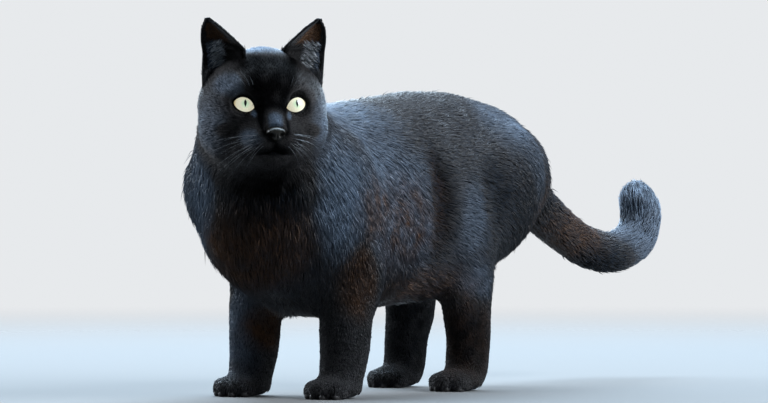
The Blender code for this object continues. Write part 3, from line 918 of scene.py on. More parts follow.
def coat_shade_group():
    """Colour from the painted light value: painted shade that takes Black almost to nothing at 0, Black at
    0.5 and the painted sheen colour at 1, then Brown by Rust.

    It is multiplied by the tuft's tone, and rises from the root to the tip.
    """
    group = bpy.data.node_groups.new("coat shade", "ShaderNodeTree")
    for names, kind in ((COLOURS, "NodeSocketColor"), (VALUES, "NodeSocketFloat")):
        for name in names:
            group.interface.new_socket(name, in_out="INPUT", socket_type=kind)
    group.interface.new_socket("Color", in_out="OUTPUT", socket_type="NodeSocketColor")
    given = group.nodes.new("NodeGroupInput").outputs
    painted_light_and_pale = given["Painted_Light_And_Pale"]
    # Painted shade: Black falls to 6 % where the painted light value is 0.
    lower = scaled(group, given["Black"], ranged(group, painted_light_and_pale, 0.0, 0.5, 0.06, 1.0))
    # Painted sheen: towards the slate colour where the value is 1.
    colour = blended(group, ranged(group, painted_light_and_pale, 0.5, 1.0, 0.0, 1.0), lower, given["Painted_Sheen_And_Pale"])
    # The brown is darkened by painted shade as well.
    brown = scaled(group, given["Brown"], ranged(group, painted_light_and_pale, 0.0, 0.5, 0.22, 1.0))
    patchy = ranged(group, cloud(group, 260.0, 3.0), 0.3, 0.7, 0.75, 1.25)
    amount = worked_out(group, "MULTIPLY", given["Rust"], patchy)
    colour = blended(group, ranged(group, amount, 0.0, 1.0, 0.0, 1.0), colour, brown)
    level = worked_out(group, "MULTIPLY", ranged(group, given["Tone"], 0.0, 1.0, 0.55, 1.5),
                       ranged(group, given["Along"], 0.0, 1.0, 0.65, 1.25))
    leave = group.nodes.new("NodeGroupOutput")
    group.links.new(scaled(group, colour, level), leave.inputs["Color"])
    return group


COAT_SHADE = coat_shade_group()
# Black, the slate colour of the painted sheen, and brown.
COAT_COLOURS = ((0.031, 0.029, 0.029), (0.118, 0.156, 0.212), (0.074, 0.036, 0.017))
UNDER_COLOURS = tuple(tuple(0.6 * c for c in colour) for colour in COAT_COLOURS)
HAIR_FINISH = dict(Specular_IOR_Level=0.14, Specular_Tint=(0.86, 0.93, 1.0, 1), Sheen_Weight=0.02,
                   Sheen_Roughness=0.40, Sheen_Tint=(0.40, 0.62, 1.0, 1))


def shaded(tree, shader, roughness, colours):
    """Feeds colour and roughness: the coat colour with its painted light and shade, and a finish duller
    where the painted light value is low.
    """
    shade = tree.nodes.new("ShaderNodeGroup")
    shade.node_tree = COAT_SHADE
    for name, colour in zip(COLOURS, colours):
        shade.inputs[name].default_value = (*colour, 1)
    for name in VALUES:
        tree.links.new(stored(tree, name.lower()), shade.inputs[name])
    vary = ranged(tree, cloud(tree, 900.0, 2.0), 0.3, 0.7, roughness - 0.07, roughness + 0.10)
    dull = ranged(tree, stored(tree, "painted_light_and_pale"), 0.0, 0.5, 0.40, 0.0)
    feed(tree, shader, Base_Color=shade.outputs["Color"],
         Roughness=worked_out(tree, "ADD", vary, dull))


def hair_material(name, roughness=0.40, colours=COAT_COLOURS, **inputs):
    material, tree, shader = material_with_shader(name, **{**HAIR_FINISH, **inputs})
    shaded(tree, shader, roughness, colours)
    return material


def skin_material(name):
    """Skin and under-hair: the coat's shade, with fine streaks that run down the hair."""
    material, tree, shader = material_with_shader(
        name, **{**HAIR_FINISH, "Specular_IOR_Level": 0.12, "Sheen_Roughness": 0.5})
    shaded(tree, shader, 0.55, UNDER_COLOURS)
    stretch = node(tree, "Mapping", Vector=object_place(tree), Scale=(1.0, 0.45, 0.7))
    streaks = cloud(tree, 900.0, 4.0, Roughness=0.6, Vector=stretch.outputs["Vector"])
    feed(tree, shader, Normal=bumped(tree, streaks, 0.8, 0.0012))
    return material


COAT, SKIN = hair_material("black coat"), skin_material("skin under the coat")
FACE_COAT = hair_material("short face coat", roughness=0.46, Specular_IOR_Level=0.025, Sheen_Weight=0.0)
# The skin takes the same painted light and shade as the tufts.
for name, values in (("rust", rust(points)), ("painted_light_and_pale", painted_light_and_pale(points)), ("along", 0.3 * everywhere),
                     ("tone", 0.3 + 0.2 * waves(points, 0.012, 3))):
    add_values(skin, name, values)
dressed(skin, SKIN, "coat", *FLESH)

# %% [markdown]
# ## The coat
# Tufts are dense and short on the face and feet, longer and wider on the trunk. Their way
# wavers a little from lock to lock, and some locks stand higher than others, which breaks the
# sheen into streaks. No tuft grows inside the lids, on the nose or under the feet.

# %% Coat
skin.data.calc_loop_triangles()
triangles = read(skin.data.loop_triangles, "vertices", 3, np.int32)
q = in_head(points)
on_head, on_leg, on_tail = head_share(points), leg_share(points), tail_share(points)
from_nose = np.linalg.norm(q - NOSE_TIP, axis=1)
PER_MM2, BARE_BELOW = 1e6, 0.006  # the soles have no coat below this height
density = 0.70 + 0.48 * on_leg - 0.06 * on_tail
density = density + on_head * (0.45 + 2.0 * step(from_nose, 0.085, 0.035))
density *= PER_MM2
for side in SIDES.values():
    over, ahead, flat = outside_lids(q, side)
    near = (ahead > 0) & (flat < ROUND_EYE)
    density[near] *= 1 + 1.8 * step(over[near], 0.0040, 0.0010)
    density[near & (over < 0.0003)] = 0
density *= 1 + 1.2 * step(from_pad(q), 1.8, 1.2) * (q[:, 1] > NOSE_BACK)
density[(from_pad(q) < 0.97) & (q[:, 1] > NOSE_BACK)] = 0
density[(normals[:, 2] < -0.55) & (points[:, 2] < BARE_BELOW)] = 0

chosen, weights = pick_roots(points, triangles, density, 11)
rng = np.random.default_rng(12)
roots = mixed(points, triangles, chosen, weights)
out = unit(mixed(soft_normals, triangles, chosen, weights))
way = laid(mixed(ways, triangles, chosen, weights), out)
bend = np.clip(mixed(bends, triangles, chosen, weights), -15, 70)
on_head, on_leg, on_tail = head_share(roots), leg_share(roots), tail_share(roots)
count = len(roots)
side = np.cross(out, way)
waver = 0.16 * waves(roots, 0.030, 21) + 0.20 * waves(roots, 0.009, 22) + rng.normal(0, 0.09, count)
waver *= 1 - 0.45 * on_head
way = unit(way + side * waver[:, None])
length = coat_length(roots) * rng.uniform(0.75, 1.15, count)
height = DEPTH * coat_length(roots) * np.where(on_head > 0.5, rng.uniform(0.85, 1.20, count),
                                                rng.uniform(0.55, 1.05, count))
lock = waves(roots - way * (roots * way).sum(axis=1, keepdims=True) * 0.7, 0.008, 23)
height *= 1 + 0.22 * lock
stray = rng.random(count) < 0.012 * (1 - on_head)
height[stray] *= 1.5
width = 0.00106 * (1 - 0.30 * on_leg) * (1 + 0.15 * on_tail)
width = mix(width, 0.00042 + 0.00035 * step(length, 0.003, 0.009), on_head)
width *= rng.uniform(0.7, 1.3, count)
tone = np.clip(0.5 + 0.24 * lock + rng.normal(0, 0.11, count), 0, 1)

FACE_BACK = 0.012  # f
CHEST_BACK, LEGS_APART, TRUNK_BACK = -0.175, -0.120, -0.020  # y
q = in_head(roots)
on_face = (on_head > 0.5) & (q[:, 1] > FACE_BACK)
on_limb, left, in_front = on_leg > 0.35, roots[:, 0] > 0, roots[:, 1] < LEGS_APART
PIECES = {  # a tuft belongs to the first of these that holds
    "coat_face_left": on_face & (q[:, 0] > 0),
    "coat_face_right": on_face,
    "coat_head": on_head > 0.5,
    "coat_tail": on_tail > 0.5,
    "coat_fore_leg_left": on_limb & in_front & left,
    "coat_fore_leg_right": on_limb & in_front,
    "coat_hind_leg_left": on_limb & left,
    "coat_hind_leg_right": on_limb,
    "coat_chest": roots[:, 1] < CHEST_BACK,
    "coat_trunk_left": (roots[:, 1] < TRUNK_BACK) & left,
    "coat_trunk_right": roots[:, 1] < TRUNK_BACK,
    "coat_rump_left": left,
    "coat_rump_right": ~left,
}
piece = np.select(list(PIECES.values()), range(len(PIECES)))
for number, name in enumerate(PIECES):
    tufts = (v[piece == number] for v in (roots, out, way, length, height, width, bend, tone))
    coat_piece(name, *tufts, FACE_COAT if number < 3 else COAT)
print("tufts in all:", count)

# %% [markdown]
# ## Eyes
# An eyeball is a closed ball with a slightly fuller cornea. The iris is painted by angle from
# the middle of the eye: a mint ring round the pupil, then pale cream, then a dark outer rim,
# with fine radial fibres. The pupil is a standing slit. A clear coat gives the wet gloss. Most
# of the iris's brightness is a painted glow: its colour is given out as light.

# %% Eyes
PUPIL_TURN = {1: math.radians(9), -1: math.radians(6)}  # outward
PUPIL_RISE = math.radians(9)
IRIS = 0.0104  # radius, along the ball
PUPIL_HALF, PUPIL_TALL = 0.00125, 0.0030
EYE_PAINTED_GLOW, EYE_DIM = 0.60, 0.38  # shares of the iris's colour given out as a painted glow, and taking the light


def eyeball(name, side, material):
    """A ball on a grid of angle from its front and angle round it.

    The cornea adds 0.5 mm at the front, times cos^2 out to 40 degrees. The iris place is stored
    as across and up, each the arc along the ball, for the material to paint.
    """
    down = np.concatenate([np.linspace(0.01, 1.0, 40), np.linspace(1.06, math.pi - 0.01, 24)])
    a, b = polar_grid(down, 64)
    radius = EYE_RADIUS + 0.0005 * np.cos(np.clip(a / 0.75, 0, 1) * np.pi / 2) ** 2
    out_way, ahead, above = eye_axes(side, PUPIL_TURN[side], PUPIL_RISE, 0.0)
    ball = (np.cos(a)[..., None] * ahead
            + np.sin(a)[..., None] * (np.cos(b)[..., None] * out_way + np.sin(b)[..., None] * above))
    obj = closed_grid(name, from_head(eye_middle(side) + ball * radius[..., None]))
    along = unit(in_head(points_of(obj.data)) - eye_middle(side))
    angle = np.arccos(np.clip(along @ ahead, -1, 1))
    across, up = along @ out_way * side, along @ above
    flat = np.maximum(np.hypot(across, up), 1e-6)
    arc = np.stack([across / flat * angle, up / flat * angle, angle], axis=1) * EYE_RADIUS
    add_values(obj, "iris", arc)
    return dressed(obj, material, "eye", "eye_left" if side > 0 else "eye_right")


def eye_material():
    """The iris by its arc from the pupil's middle, and the slit of the pupil over it."""
    material, tree, shader = material_with_shader(
        "cat eye", Roughness=0.22, Specular_IOR_Level=0.5, Coat_Weight=1.0, Coat_Roughness=0.03,
        Coat_IOR=1.38, Emission_Strength=EYE_PAINTED_GLOW)
    arc = node(tree, "SeparateXYZ", Vector=stored(tree, "iris", "Vector")).outputs

    def calc(*given, **options):
        return worked_out(tree, *given, **options)

    # The pupil: |x| less a half width that falls to nothing at its ends, highest above the middle.
    up = calc("DIVIDE", calc("SUBTRACT", arc["Y"], 0.0003), PUPIL_TALL)
    bulge = calc("SUBTRACT", 1.0, calc("MULTIPLY", up, up), clamp=True)
    bulge = calc("MULTIPLY", bulge, calc("ADD", 0.85, calc("MULTIPLY", up, 0.35)))
    slit = calc("SUBTRACT", calc("ABSOLUTE", arc["X"]), calc("MULTIPLY", bulge, PUPIL_HALF))
    pupil = ranged(tree, slit, -0.00030, -0.00002, 1.0, 0.0)
    spokes = node(tree, "CombineXYZ", X=calc("MULTIPLY", calc("ARCTAN2", arc["Y"], arc["X"]), 9.0),
                  Y=calc("MULTIPLY", arc["Z"], 260.0)).outputs["Vector"]
    fibre = cloud(tree, 2.2, 4.0, Roughness=0.65, Vector=spokes)
    wobble = calc("MULTIPLY", calc("SUBTRACT", fibre, 0.5), 0.0016)
    ring = ranged(tree, calc("ADD", arc["Z"], wobble), 0.0, IRIS, 0.0, 1.0)
    iris = bands_of_colour(tree, ring, (
        (0.0, (0.50, 0.80, 0.52)), (0.18, (0.72, 0.90, 0.62)), (0.36, (0.96, 0.94, 0.70)),
        (0.66, (0.98, 0.93, 0.70)), (0.82, (0.84, 0.70, 0.40)), (0.92, (0.16, 0.13, 0.05)),
        (1.0, (0.008, 0.008, 0.008))))
    iris = scaled(tree, iris, ranged(tree, fibre, 0.3, 0.7, 0.80, 1.12))
    colour = blended(tree, pupil, iris, (0.004, 0.004, 0.005, 1))
    # The iris colour is also given out as light: a painted glow.
    feed(tree, shader, Base_Color=scaled(tree, colour, EYE_DIM), Emission_Color=colour)
    return material


EYE = eye_material()
for word, side in SIDES.items():
    eyeball(f"eyeball_{word}", side, EYE)
print("eyeballs of radius", EYE_RADIUS)

# %% [markdown]
# ## Lids
# The edge of a lid is a black, bare and slightly moist band. It is a tube that is carried
# round the almond close over the ball, thicker above than below.

# %% Lids


def leather_material(name, colour, scale=2200.0, rough=0.42, level=0.5):
    """Bare black skin: fine pebbles by a cell texture, with a tone that wanders over it."""
    material, tree, shader = material_with_shader(name, Roughness=rough, Specular_IOR_Level=level)
    dark, light = ((*[c * share for c in colour], 1) for share in (0.6, 1.5))
    pebbles = node(tree, "TexVoronoi", Scale=scale, Vector=object_place(tree)).outputs["Distance"]
    feed(tree, shader, Base_Color=blended(tree, cloud(tree, 450.0, 3.0), dark, light),
         Normal=bumped(tree, pebbles, 0.35, 0.0002))
    return material


LID_SKIN = leather_material("bare lid", (0.0012, 0.0012, 0.0012), rough=0.55, level=0.05)


def on_ball(side, out, up, radius):
    """Head-axes points on a ball about the eye's middle, at out and up from the eye's axis."""
    local = np.stack([out, ball_height(radius, np.hypot(out, up)), up], axis=-1)
    return eye_middle(side) + local @ eye_axes(side)


def tube(path, radius, outward, sides=10, flat=1.0):
    """A grid of rings along a path: radius by row, squashed by flat along the outward way."""
    along = unit(np.gradient(path, axis=0))
    across = unit(np.cross(along, outward))
    lift = np.cross(across, along)
    angle = np.linspace(0, 2 * np.pi, sides, endpoint=False)
    return (path[:, None] + radius[:, None, None] * (np.cos(angle)[None, :, None] * across[:, None]
            + flat * np.sin(angle)[None, :, None] * lift[:, None]))


def lid_band(name, side):
    """The almond as a closed path: inner corner, over the top, outer corner, back below."""
    t = np.linspace(0, 2 * np.pi, 96, endpoint=False)
    u = -np.cos(t)
    top, low = lid_height(u)
    v = np.where(t < np.pi, top, -low)
    thick = 0.00050 + 0.00038 * step(np.sin(t), -0.2, 0.8)
    path = on_ball(side, u * LID_LONG, v, EYE_RADIUS + 0.0002)
    wrapped, thick = np.vstack([path[-3:], path, path[:3]]), np.r_[thick[-3:], thick, thick[:3]]
    rings = tube(wrapped, thick, unit(wrapped - eye_middle(side)), 12, 0.8)[3:-3]
    obj = closed_grid(name, from_head(rings), wrap_rows=True)
    return dressed(obj, LID_SKIN, "nose_leather")


for word, side in SIDES.items():
    lid_band(f"eyelid_{word}", side)
print("lids made")

# %% [markdown]
# ## Nose and lips
# The nose leather is broad above and narrow below, with two comma-shaped nostrils and a groove
# down its middle. It is a ball whose points are moved by a few soft formulas. The leather is
# moist but for the hollows, which are painted near black as shade. The lips show only as a thin
# dark edge along the closed mouth.

# %% Nose and lips


def spot(x, z, at, half):
    """1 at a place of the nose, given as x and z, and falling off as a bell over half."""
    return np.exp(-(((x - at[0]) / half[0]) ** 2 + ((z - at[1]) / half[1]) ** 2))


HOLE, SLOT, SLOT_HALF = (0.0040, -0.0011), (0.0060, -0.0004), (0.0014, 0.0009)


def nose_leather():
    """A ball of half sizes NOSE_HALF, flat in front and narrow below, with nostrils and groove.

    The front is flattened by tanh. Each nostril is a soft dent with a slot that runs out of it
    to the side, and the groove is a narrow trough. Their depth is kept for the material, which
    paints them near black as shade.
    """
    a, b = polar_grid(np.linspace(0.02, math.pi - 0.02, 70), 110)
    ball = np.stack([np.sin(a) * np.cos(b), np.tanh(1.5 * np.cos(a)) / math.tanh(1.5),
                     np.sin(a) * np.sin(b)], axis=-1)
    ball[..., [0, 2]] = np.sign(ball[..., [0, 2]]) * np.abs(ball[..., [0, 2]]) ** 0.88
    ball[..., 0] *= 1 - 0.55 * step(ball[..., 2], 0.0, -1.0)
    place = ball * NOSE_HALF
    x, z = np.abs(place[..., 0]), place[..., 2]
    moved = 0.0006 * spot(x, z, (0.0050, 0.0014), (0.0012, 0.0014)) - 0.0016 * step(z, 0.0020, 0.0050)
    moved -= 0.0030 * spot(x, z, HOLE, (0.0018, 0.0014)) + 0.0018 * spot(x, z, SLOT, SLOT_HALF)
    moved -= 0.0007 * bell(x, 0.0006) * step(z, 0.001, -0.002)
    place[..., 1] += step(ball[..., 1], -0.1, 0.3) * moved
    obj = closed_grid("nose_leather", from_head(NOSE_MIDDLE + place))
    q = in_head(points_of(obj.data)) - NOSE_MIDDLE
    x, z = np.abs(q[:, 0]), q[:, 2]
    hollow = np.max([1.8 * spot(x, z, HOLE, (0.0019, 0.0015)), 1.3 * spot(x, z, SLOT, SLOT_HALF),
                     0.7 * bell(x, 0.0005) * step(z, 0.001, -0.002)], axis=0)
    add_values(obj, "hollow", np.clip(hollow, 0, 1) * (q[:, 1] > 0))
    return obj


NOSE_SKIN = leather_material("nose leather", (0.009, 0.008, 0.006), scale=1500.0, rough=0.6, level=0.04)
tree = NOSE_SKIN.node_tree
shader = tree.nodes["Principled BSDF"]
shader.inputs["Coat Roughness"].default_value = 0.26
leather, hollow = shader.inputs["Base Color"].links[0].from_socket, stored(tree, "hollow")
# Nostrils, slots and groove: painted shade, near black and without the moist coat.
feed(tree, shader, Base_Color=blended(tree, hollow, leather, (0.0008, 0.0007, 0.0006, 1)),
     Coat_Weight=ranged(tree, hollow, 0.0, 1.0, 0.5, 0.0))
dressed(nose_leather(), NOSE_SKIN, "nose_leather", "nose")


def front_of_skin(x, z):
    """How far forward the skin lies at x and z of the head: the nearest skin point's f."""
    q = in_head(points_of(skin.data))
    q = q[q[:, 1] > FACE_BACK]
    far = (q[None, :, 0] - x[:, None]) ** 2 + (q[None, :, 2] - z[:, None]) ** 2
    near = np.argsort(far, axis=1)[:, :4]
    weight = 1 / (np.take_along_axis(far, near, axis=1) + 1e-8)
    return (q[near, 1] * weight).sum(axis=1) / weight.sum(axis=1)


def lips():
    """A thin tube along the mouth, tapering to both corners."""
    x = np.linspace(-MOUTH_HALF, MOUTH_HALF, 81)
    z = mouth_line(x)
    f = front_of_skin(x, z)
    f = np.convolve(np.pad(f, 4, mode="edge"), np.ones(9) / 9, mode="valid")
    path = np.stack([x, f - 0.0006, z], axis=1)
    radius = 0.0010 * np.sqrt(np.clip(1 - (x / MOUTH_HALF) ** 4, 0.02, 1))
    return closed_grid("lips", from_head(tube(path, radius, np.tile([0.0, 1.0, 0.0], (81, 1)), 10)))


dressed(lips(), LID_SKIN, "nose_leather")
print("nose and lips made")

# %% [markdown]
# ## Ears
# An ear is a thin cup, open to the front, wide at its base and bent slightly outward at the
# tip. It is a grid of height and of place across, once for the front and once for the back.
# This cat listens to its side with its right ear, so that ear is turned more and more outwards
# from its base to its tip, as one would wring a cloth.

# %% Ears
EAR_BASE, EAR_TOP, EAR_TIP_OUT, EAR_THICK = 0.0120, 0.0680, 0.0403, 0.0022
EAR_BARE = 0.0006  # how far the shell lies behind the front surface, under the hair
EAR_PIVOT, EAR_TWIST = np.array([0.0340, 0.0, 0.0]), {1: 0.0, -1: math.radians(24)}


def twisted(ways, z, side):
    """Ways in head axes turned about the upright by an angle that grows with height z.

    Across becomes across cos + ahead sin, and ahead becomes ahead cos - across sin.
    """
    angle = EAR_TWIST[side] * np.clip((z - 0.016) / 0.026, 0, 1)
    c, s = np.cos(angle), np.sin(angle)
    return np.stack([ways[..., 0] * c + ways[..., 1] * s, ways[..., 1] * c - ways[..., 0] * s,
                     ways[..., 2]], axis=-1)


def ear_surface(z, u):
    """The hollow front of the left ear in head axes, for height z and u from -1 inner to 1 outer.

    The outer edge leans in towards the tip and the inner edge leans out, the front hollows as
    1 - u^2, and the whole ear leans forward as it rises. The last 8 mm narrow as a quarter
    circle does, so that the tip is round.
    """
    below = EAR_TOP - z
    rounding = 0.0068 * (1 - np.exp(-below / 0.0060))
    outer = EAR_TIP_OUT + rounding - 0.10 * np.maximum(below - 0.017, 0)
    inner = np.maximum(EAR_TIP_OUT - 0.0230 * (np.maximum(below, 0) / 0.019) ** 0.86, 0.0130)
    inner = np.minimum(inner, outer - 0.0006)
    tip = np.sqrt(np.clip(1 - (np.maximum(z - 0.0600, 0) / 0.0081) ** 2, 0.01, 1))
    hollow = (0.0020 + 0.0100 * (np.maximum(below, 0) / EAR_TOP) ** 0.8) * tip
    lean = 0.45 * (np.maximum(z, 0.044) - 0.049)
    x = (outer + inner) / 2 + tip * (outer - inner) / 2 * u
    behind = -0.0030 - lean + hollow * (1 - u**2) + 0.30 * (x - 0.030)
    return np.stack([x, -behind, z], axis=-1)


def ear_grid(z, u):
    """Points of the front surface, the way it faces and the way it rises, from its two slopes."""
    here = ear_surface(z, u)
    rise = ear_surface(z + 1e-5, u) - here
    forward = unit(np.cross(rise, ear_surface(z, u + 1e-3) - here))
    return here, forward * np.sign(forward[..., 1:2] + 1e-9), unit(rise)


def ear_shell(name, side, material, cad):
    """Front and back of the cup joined into one closed ring at each height."""
    z = EAR_BASE + (EAR_TOP - 0.0004 - EAR_BASE) * np.linspace(0, 1, 44) ** 0.9
    u = np.sin(np.linspace(-1, 1, 25) * np.pi / 2)
    zz, uu = np.meshgrid(z, u, indexing="ij")
    front, forward, _ = ear_grid(zz, uu)
    thick = EAR_THICK * (0.35 + 0.65 * np.sqrt(np.clip(1 - uu**2, 0, 1)))
    front = front - forward * EAR_BARE
    back = front - forward * (thick * (1 - 0.5 * step(zz, 0.055, 0.068)))[..., None]
    ring = np.concatenate([front, back[:, ::-1]], axis=1)
    inside = np.concatenate([step(np.abs(uu), 0.92, 0.70) * step(zz, 0.066, 0.060),
                             np.zeros(back.shape[:2])], axis=1)
    ring = EAR_PIVOT + twisted(ring - EAR_PIVOT, ring[..., 2], side)
    ring[..., 0] *= side
    obj = closed_grid(name, from_head(ring))
    q = in_head(points_of(obj.data))
    nearest = ((q[:, None] - ring.reshape(-1, 3)) ** 2).sum(axis=2).argmin(axis=1)
    add_values(obj, "inside", inside.reshape(-1)[nearest])
    add_values(obj, "height", (q[:, 2] - EAR_BASE) / (EAR_TOP - EAR_BASE))
    return dressed(obj, material, "ear_skin", cad)


def ear_material():
    """Black behind and along the rim, brown-grey skin in the hollow, darker towards the base."""
    material, tree, shader = material_with_shader("ear skin", Roughness=0.7, Specular_IOR_Level=0.12)
    skin_colour = bands_of_colour(tree, stored(tree, "height"), (
        (0.0, (0.004, 0.004, 0.005)), (0.35, (0.010, 0.009, 0.009)),
        (0.65, (0.024, 0.016, 0.010)), (1.0, (0.010, 0.007, 0.005))))
    patches = cloud(tree, 300.0, 4.0)
    lit = scaled(tree, skin_colour, ranged(tree, patches, 0.3, 0.7, 0.7, 1.3))
    feed(tree, shader, Base_Color=blended(tree, stored(tree, "inside"), (0.004, 0.004, 0.005, 1), lit),
         Normal=bumped(tree, patches, 0.3, 0.0004))
    return material


EAR = ear_material()
for word, side in SIDES.items():
    ear_shell(f"ear_shell_{word}", side, EAR, f"ear_{word}")
print("ear shells made")

# %% [markdown]
# ## Hair of the ears
# The back and the rim carry very short black hair that points to the tip, and the hollow has a
# brown down. Long black hairs sweep across it from the inner edge, pale and grey ones come from
# the outer edge, and dark spikes stand at the base.

# %% Ear hair
EAR_HAIR = hair_material("ear hair", roughness=0.5, Specular_IOR_Level=0.08, Sheen_Weight=0.0)
PALE_COLOURS = ((0.05, 0.05, 0.05), (0.55, 0.57, 0.60), (0.05, 0.04, 0.03))
PALE_HAIR = hair_material("pale ear hair", 0.5, PALE_COLOURS)


def tip_room(z):
    """How long a hair may be at height z, so that the tip of the ear keeps its round outline."""
    return 0.0004 + 0.28 * np.maximum(EAR_TOP - 0.0010 - z, 0)


def even(low, high):
    return lambda rng, count: rng.uniform(low, high, count)


def about(mean, spread, low=-np.inf, high=np.inf):
    return lambda rng, count: np.clip(rng.normal(mean, spread, count), low, high)


EAR_HAIRS = {
    # name: number, seed, range of height, range from the inner to the outer edge, material,
    # level of the painted light value (below 0.5 darker than plain black, above it towards the pale
    # colour), brown; way up, across and out, and how far it fans out; length, height and width
    "coat": (5600, 31, (0.20, 0.985), (-0.97, 0.97), COAT, 0.25, 0.0,
             1.0, about(0, 0.12), 0.0, -0.10, even(0.0024, 0.0042), 0.0005, even(0.0004, 0.0007)),
    "rim": (3600, 41, (0.12, 0.985), (0, 1), COAT, 0.25, 0.0,
            1.0, about(0, 0.12), 0.12, -0.22, even(0.0016, 0.0030), 0.0005, even(0.0004, 0.0006)),
    "down": (3000, 81, (0.15, 0.93), (-0.9, 0.9), EAR_HAIR, 0.42, 0.85,
             1.0, about(0.1, 0.25), 0.0, 0.0, even(0.0025, 0.0045), 0.0004, even(0.0003, 0.0006)),
    "long_hair": (2200, 51, (0.02, 0.60), (-1.0, -0.35), FACE_COAT, 0.16, 0.0,
                  0.9, even(0.2, 0.8), 0.3, 0.0, even(0.006, 0.013), 0.0020, even(0.0003, 0.0006)),
    "pale_hair": (380, 91, (0.34, 0.66), (0.20, 0.86), PALE_HAIR, about(0.75, 0.25, 0.2, 1), 0.0,
                  about(0.40, 0.15), even(-1.0, -0.6), 0.2, 0.0,
                  even(0.005, 0.012), 0.0024, even(0.0002, 0.00045)),
    "grey_hair": (700, 95, (0.20, 0.66), (0.10, 0.90), EAR_HAIR, about(0.7, 0.12, 0.3, 1), 0.0,
                  about(0.60, 0.2), even(-1.0, -0.4), 0.15, 0.0,
                  even(0.004, 0.009), 0.0018, even(0.0003, 0.0006)),
    "base_hair": (900, 61, (0.0, 0.22), (-1.0, 0.95), COAT, 0.25, 0.0,
                  1.0, about(0.1, 0.35), 0.25, 0.0, even(0.006, 0.012), 0.0020, even(0.0005, 0.0008)),
}


def ear_hair(kind, word, side):
    """One kind of hair on one ear: "coat" on the back, and the others on the hollow front.

    The rim's hair stands near both edges. Hair that reaches the tip is kept short there.
    """
    number, seed, heights, edges, material, light_and_pale, brown, *shape = EAR_HAIRS[kind]
    rng = np.random.default_rng(seed + side)
    count = int(number * FULL)
    z = EAR_BASE + (EAR_TOP - EAR_BASE) * (heights[0] + (heights[1] - heights[0]) * rng.random(count))
    u = rng.uniform(*edges, count)

    def drawn(given):
        return given(rng, count) if callable(given) else np.full(count, given)

    if kind == "rim":
        u = np.where(u < 0.5, -0.99 + 0.36 * u * u * 4, 0.99 - 0.30 * (2 * u - 1) ** 2)
    up, over, off, fan, length, height, width = (drawn(given) for given in shape)
    over = over + fan * (np.sign(u) if kind == "rim" else u)
    if heights[1] > 0.9:
        length = np.minimum(length, tip_room(z))
    light_and_pale, brown = drawn(light_and_pale), drawn(brown)
    here, forward, rise = ear_grid(z, u)
    across = unit(np.cross(rise, forward))
    across *= np.sign(across[:, 0:1])
    behind = kind == "coat"
    here = here - forward * (EAR_BARE + EAR_THICK * 0.5 * behind)
    out = -forward if behind else forward
    way = unit(rise * up[:, None] + across * over[:, None] + out * off[:, None])
    flip = np.array([side, 1, 1])
    roots = (EAR_PIVOT + twisted(here - EAR_PIVOT, z, side)) * flip
    out, way = (twisted(v, z, side) * flip @ HEAD_AXES for v in (out, way))
    tone = np.clip(rng.normal(0.5, 0.22, count), 0, 1)
    coat_piece(f"ear_{kind}_{word}", from_head(roots), out, way, length, height, width, np.zeros(count),
               tone, material, "ear_skin", (light_and_pale, brown))


for word, side in SIDES.items():
    for kind in EAR_HAIRS:
        ear_hair(kind, word, side)

# %% [markdown]
# ## Whiskers
# A whisker is a thin stiff hair that tapers from its root in the lip pad. Each is a tube along
# a path that leaves sideways and bows back and down. A few stand over each eye.

# %% Whiskers


def whisker_points(roots, ways, drop, length, radius):
    """Rings of three round a path root + way L s + drop s^2, tapering as 1 - s^1.5."""
    s = np.linspace(0, 1, 14)
    path = roots[:, None] + ways[:, None] * (length[:, None] * s)[..., None]
    path = path + drop[:, None] * (s**2)[:, None]
    along = unit(np.gradient(path, axis=1))
    across = unit(np.cross(along, UP))
    lift = np.cross(across, along)
    size = radius * np.maximum(1 - s**1.5, 0.06)
    ring = np.cos(THREE)[:, None] * across[:, :, None] + np.sin(THREE)[:, None] * lift[:, :, None]
    return path[:, :, None] + ring * size[None, :, None, None]


def whisker_object(name, rings, material):
    count, rows = rings.shape[:2]
    last = rows * 3 - 1
    one = np.vstack([grid_triangles(rows, 3), [[0, 2, 1]], [[last - 2, last - 1, last]]])
    faces = (one[None] + rows * 3 * np.arange(count)[:, None, None]).reshape(-1, 3)
    obj = mesh_object(name, rings.reshape(-1, 3), faces)
    return dressed(obj, material, "whisker")


WHISKER, tree, shader = material_with_shader("whisker", Roughness=0.35, Specular_IOR_Level=0.5)
feed(tree, shader, Base_Color=bands_of_colour(
    tree, cloud(tree, 120.0, 2.0), ((0.0, (0.04, 0.045, 0.05)), (1.0, (0.16, 0.175, 0.20)))))

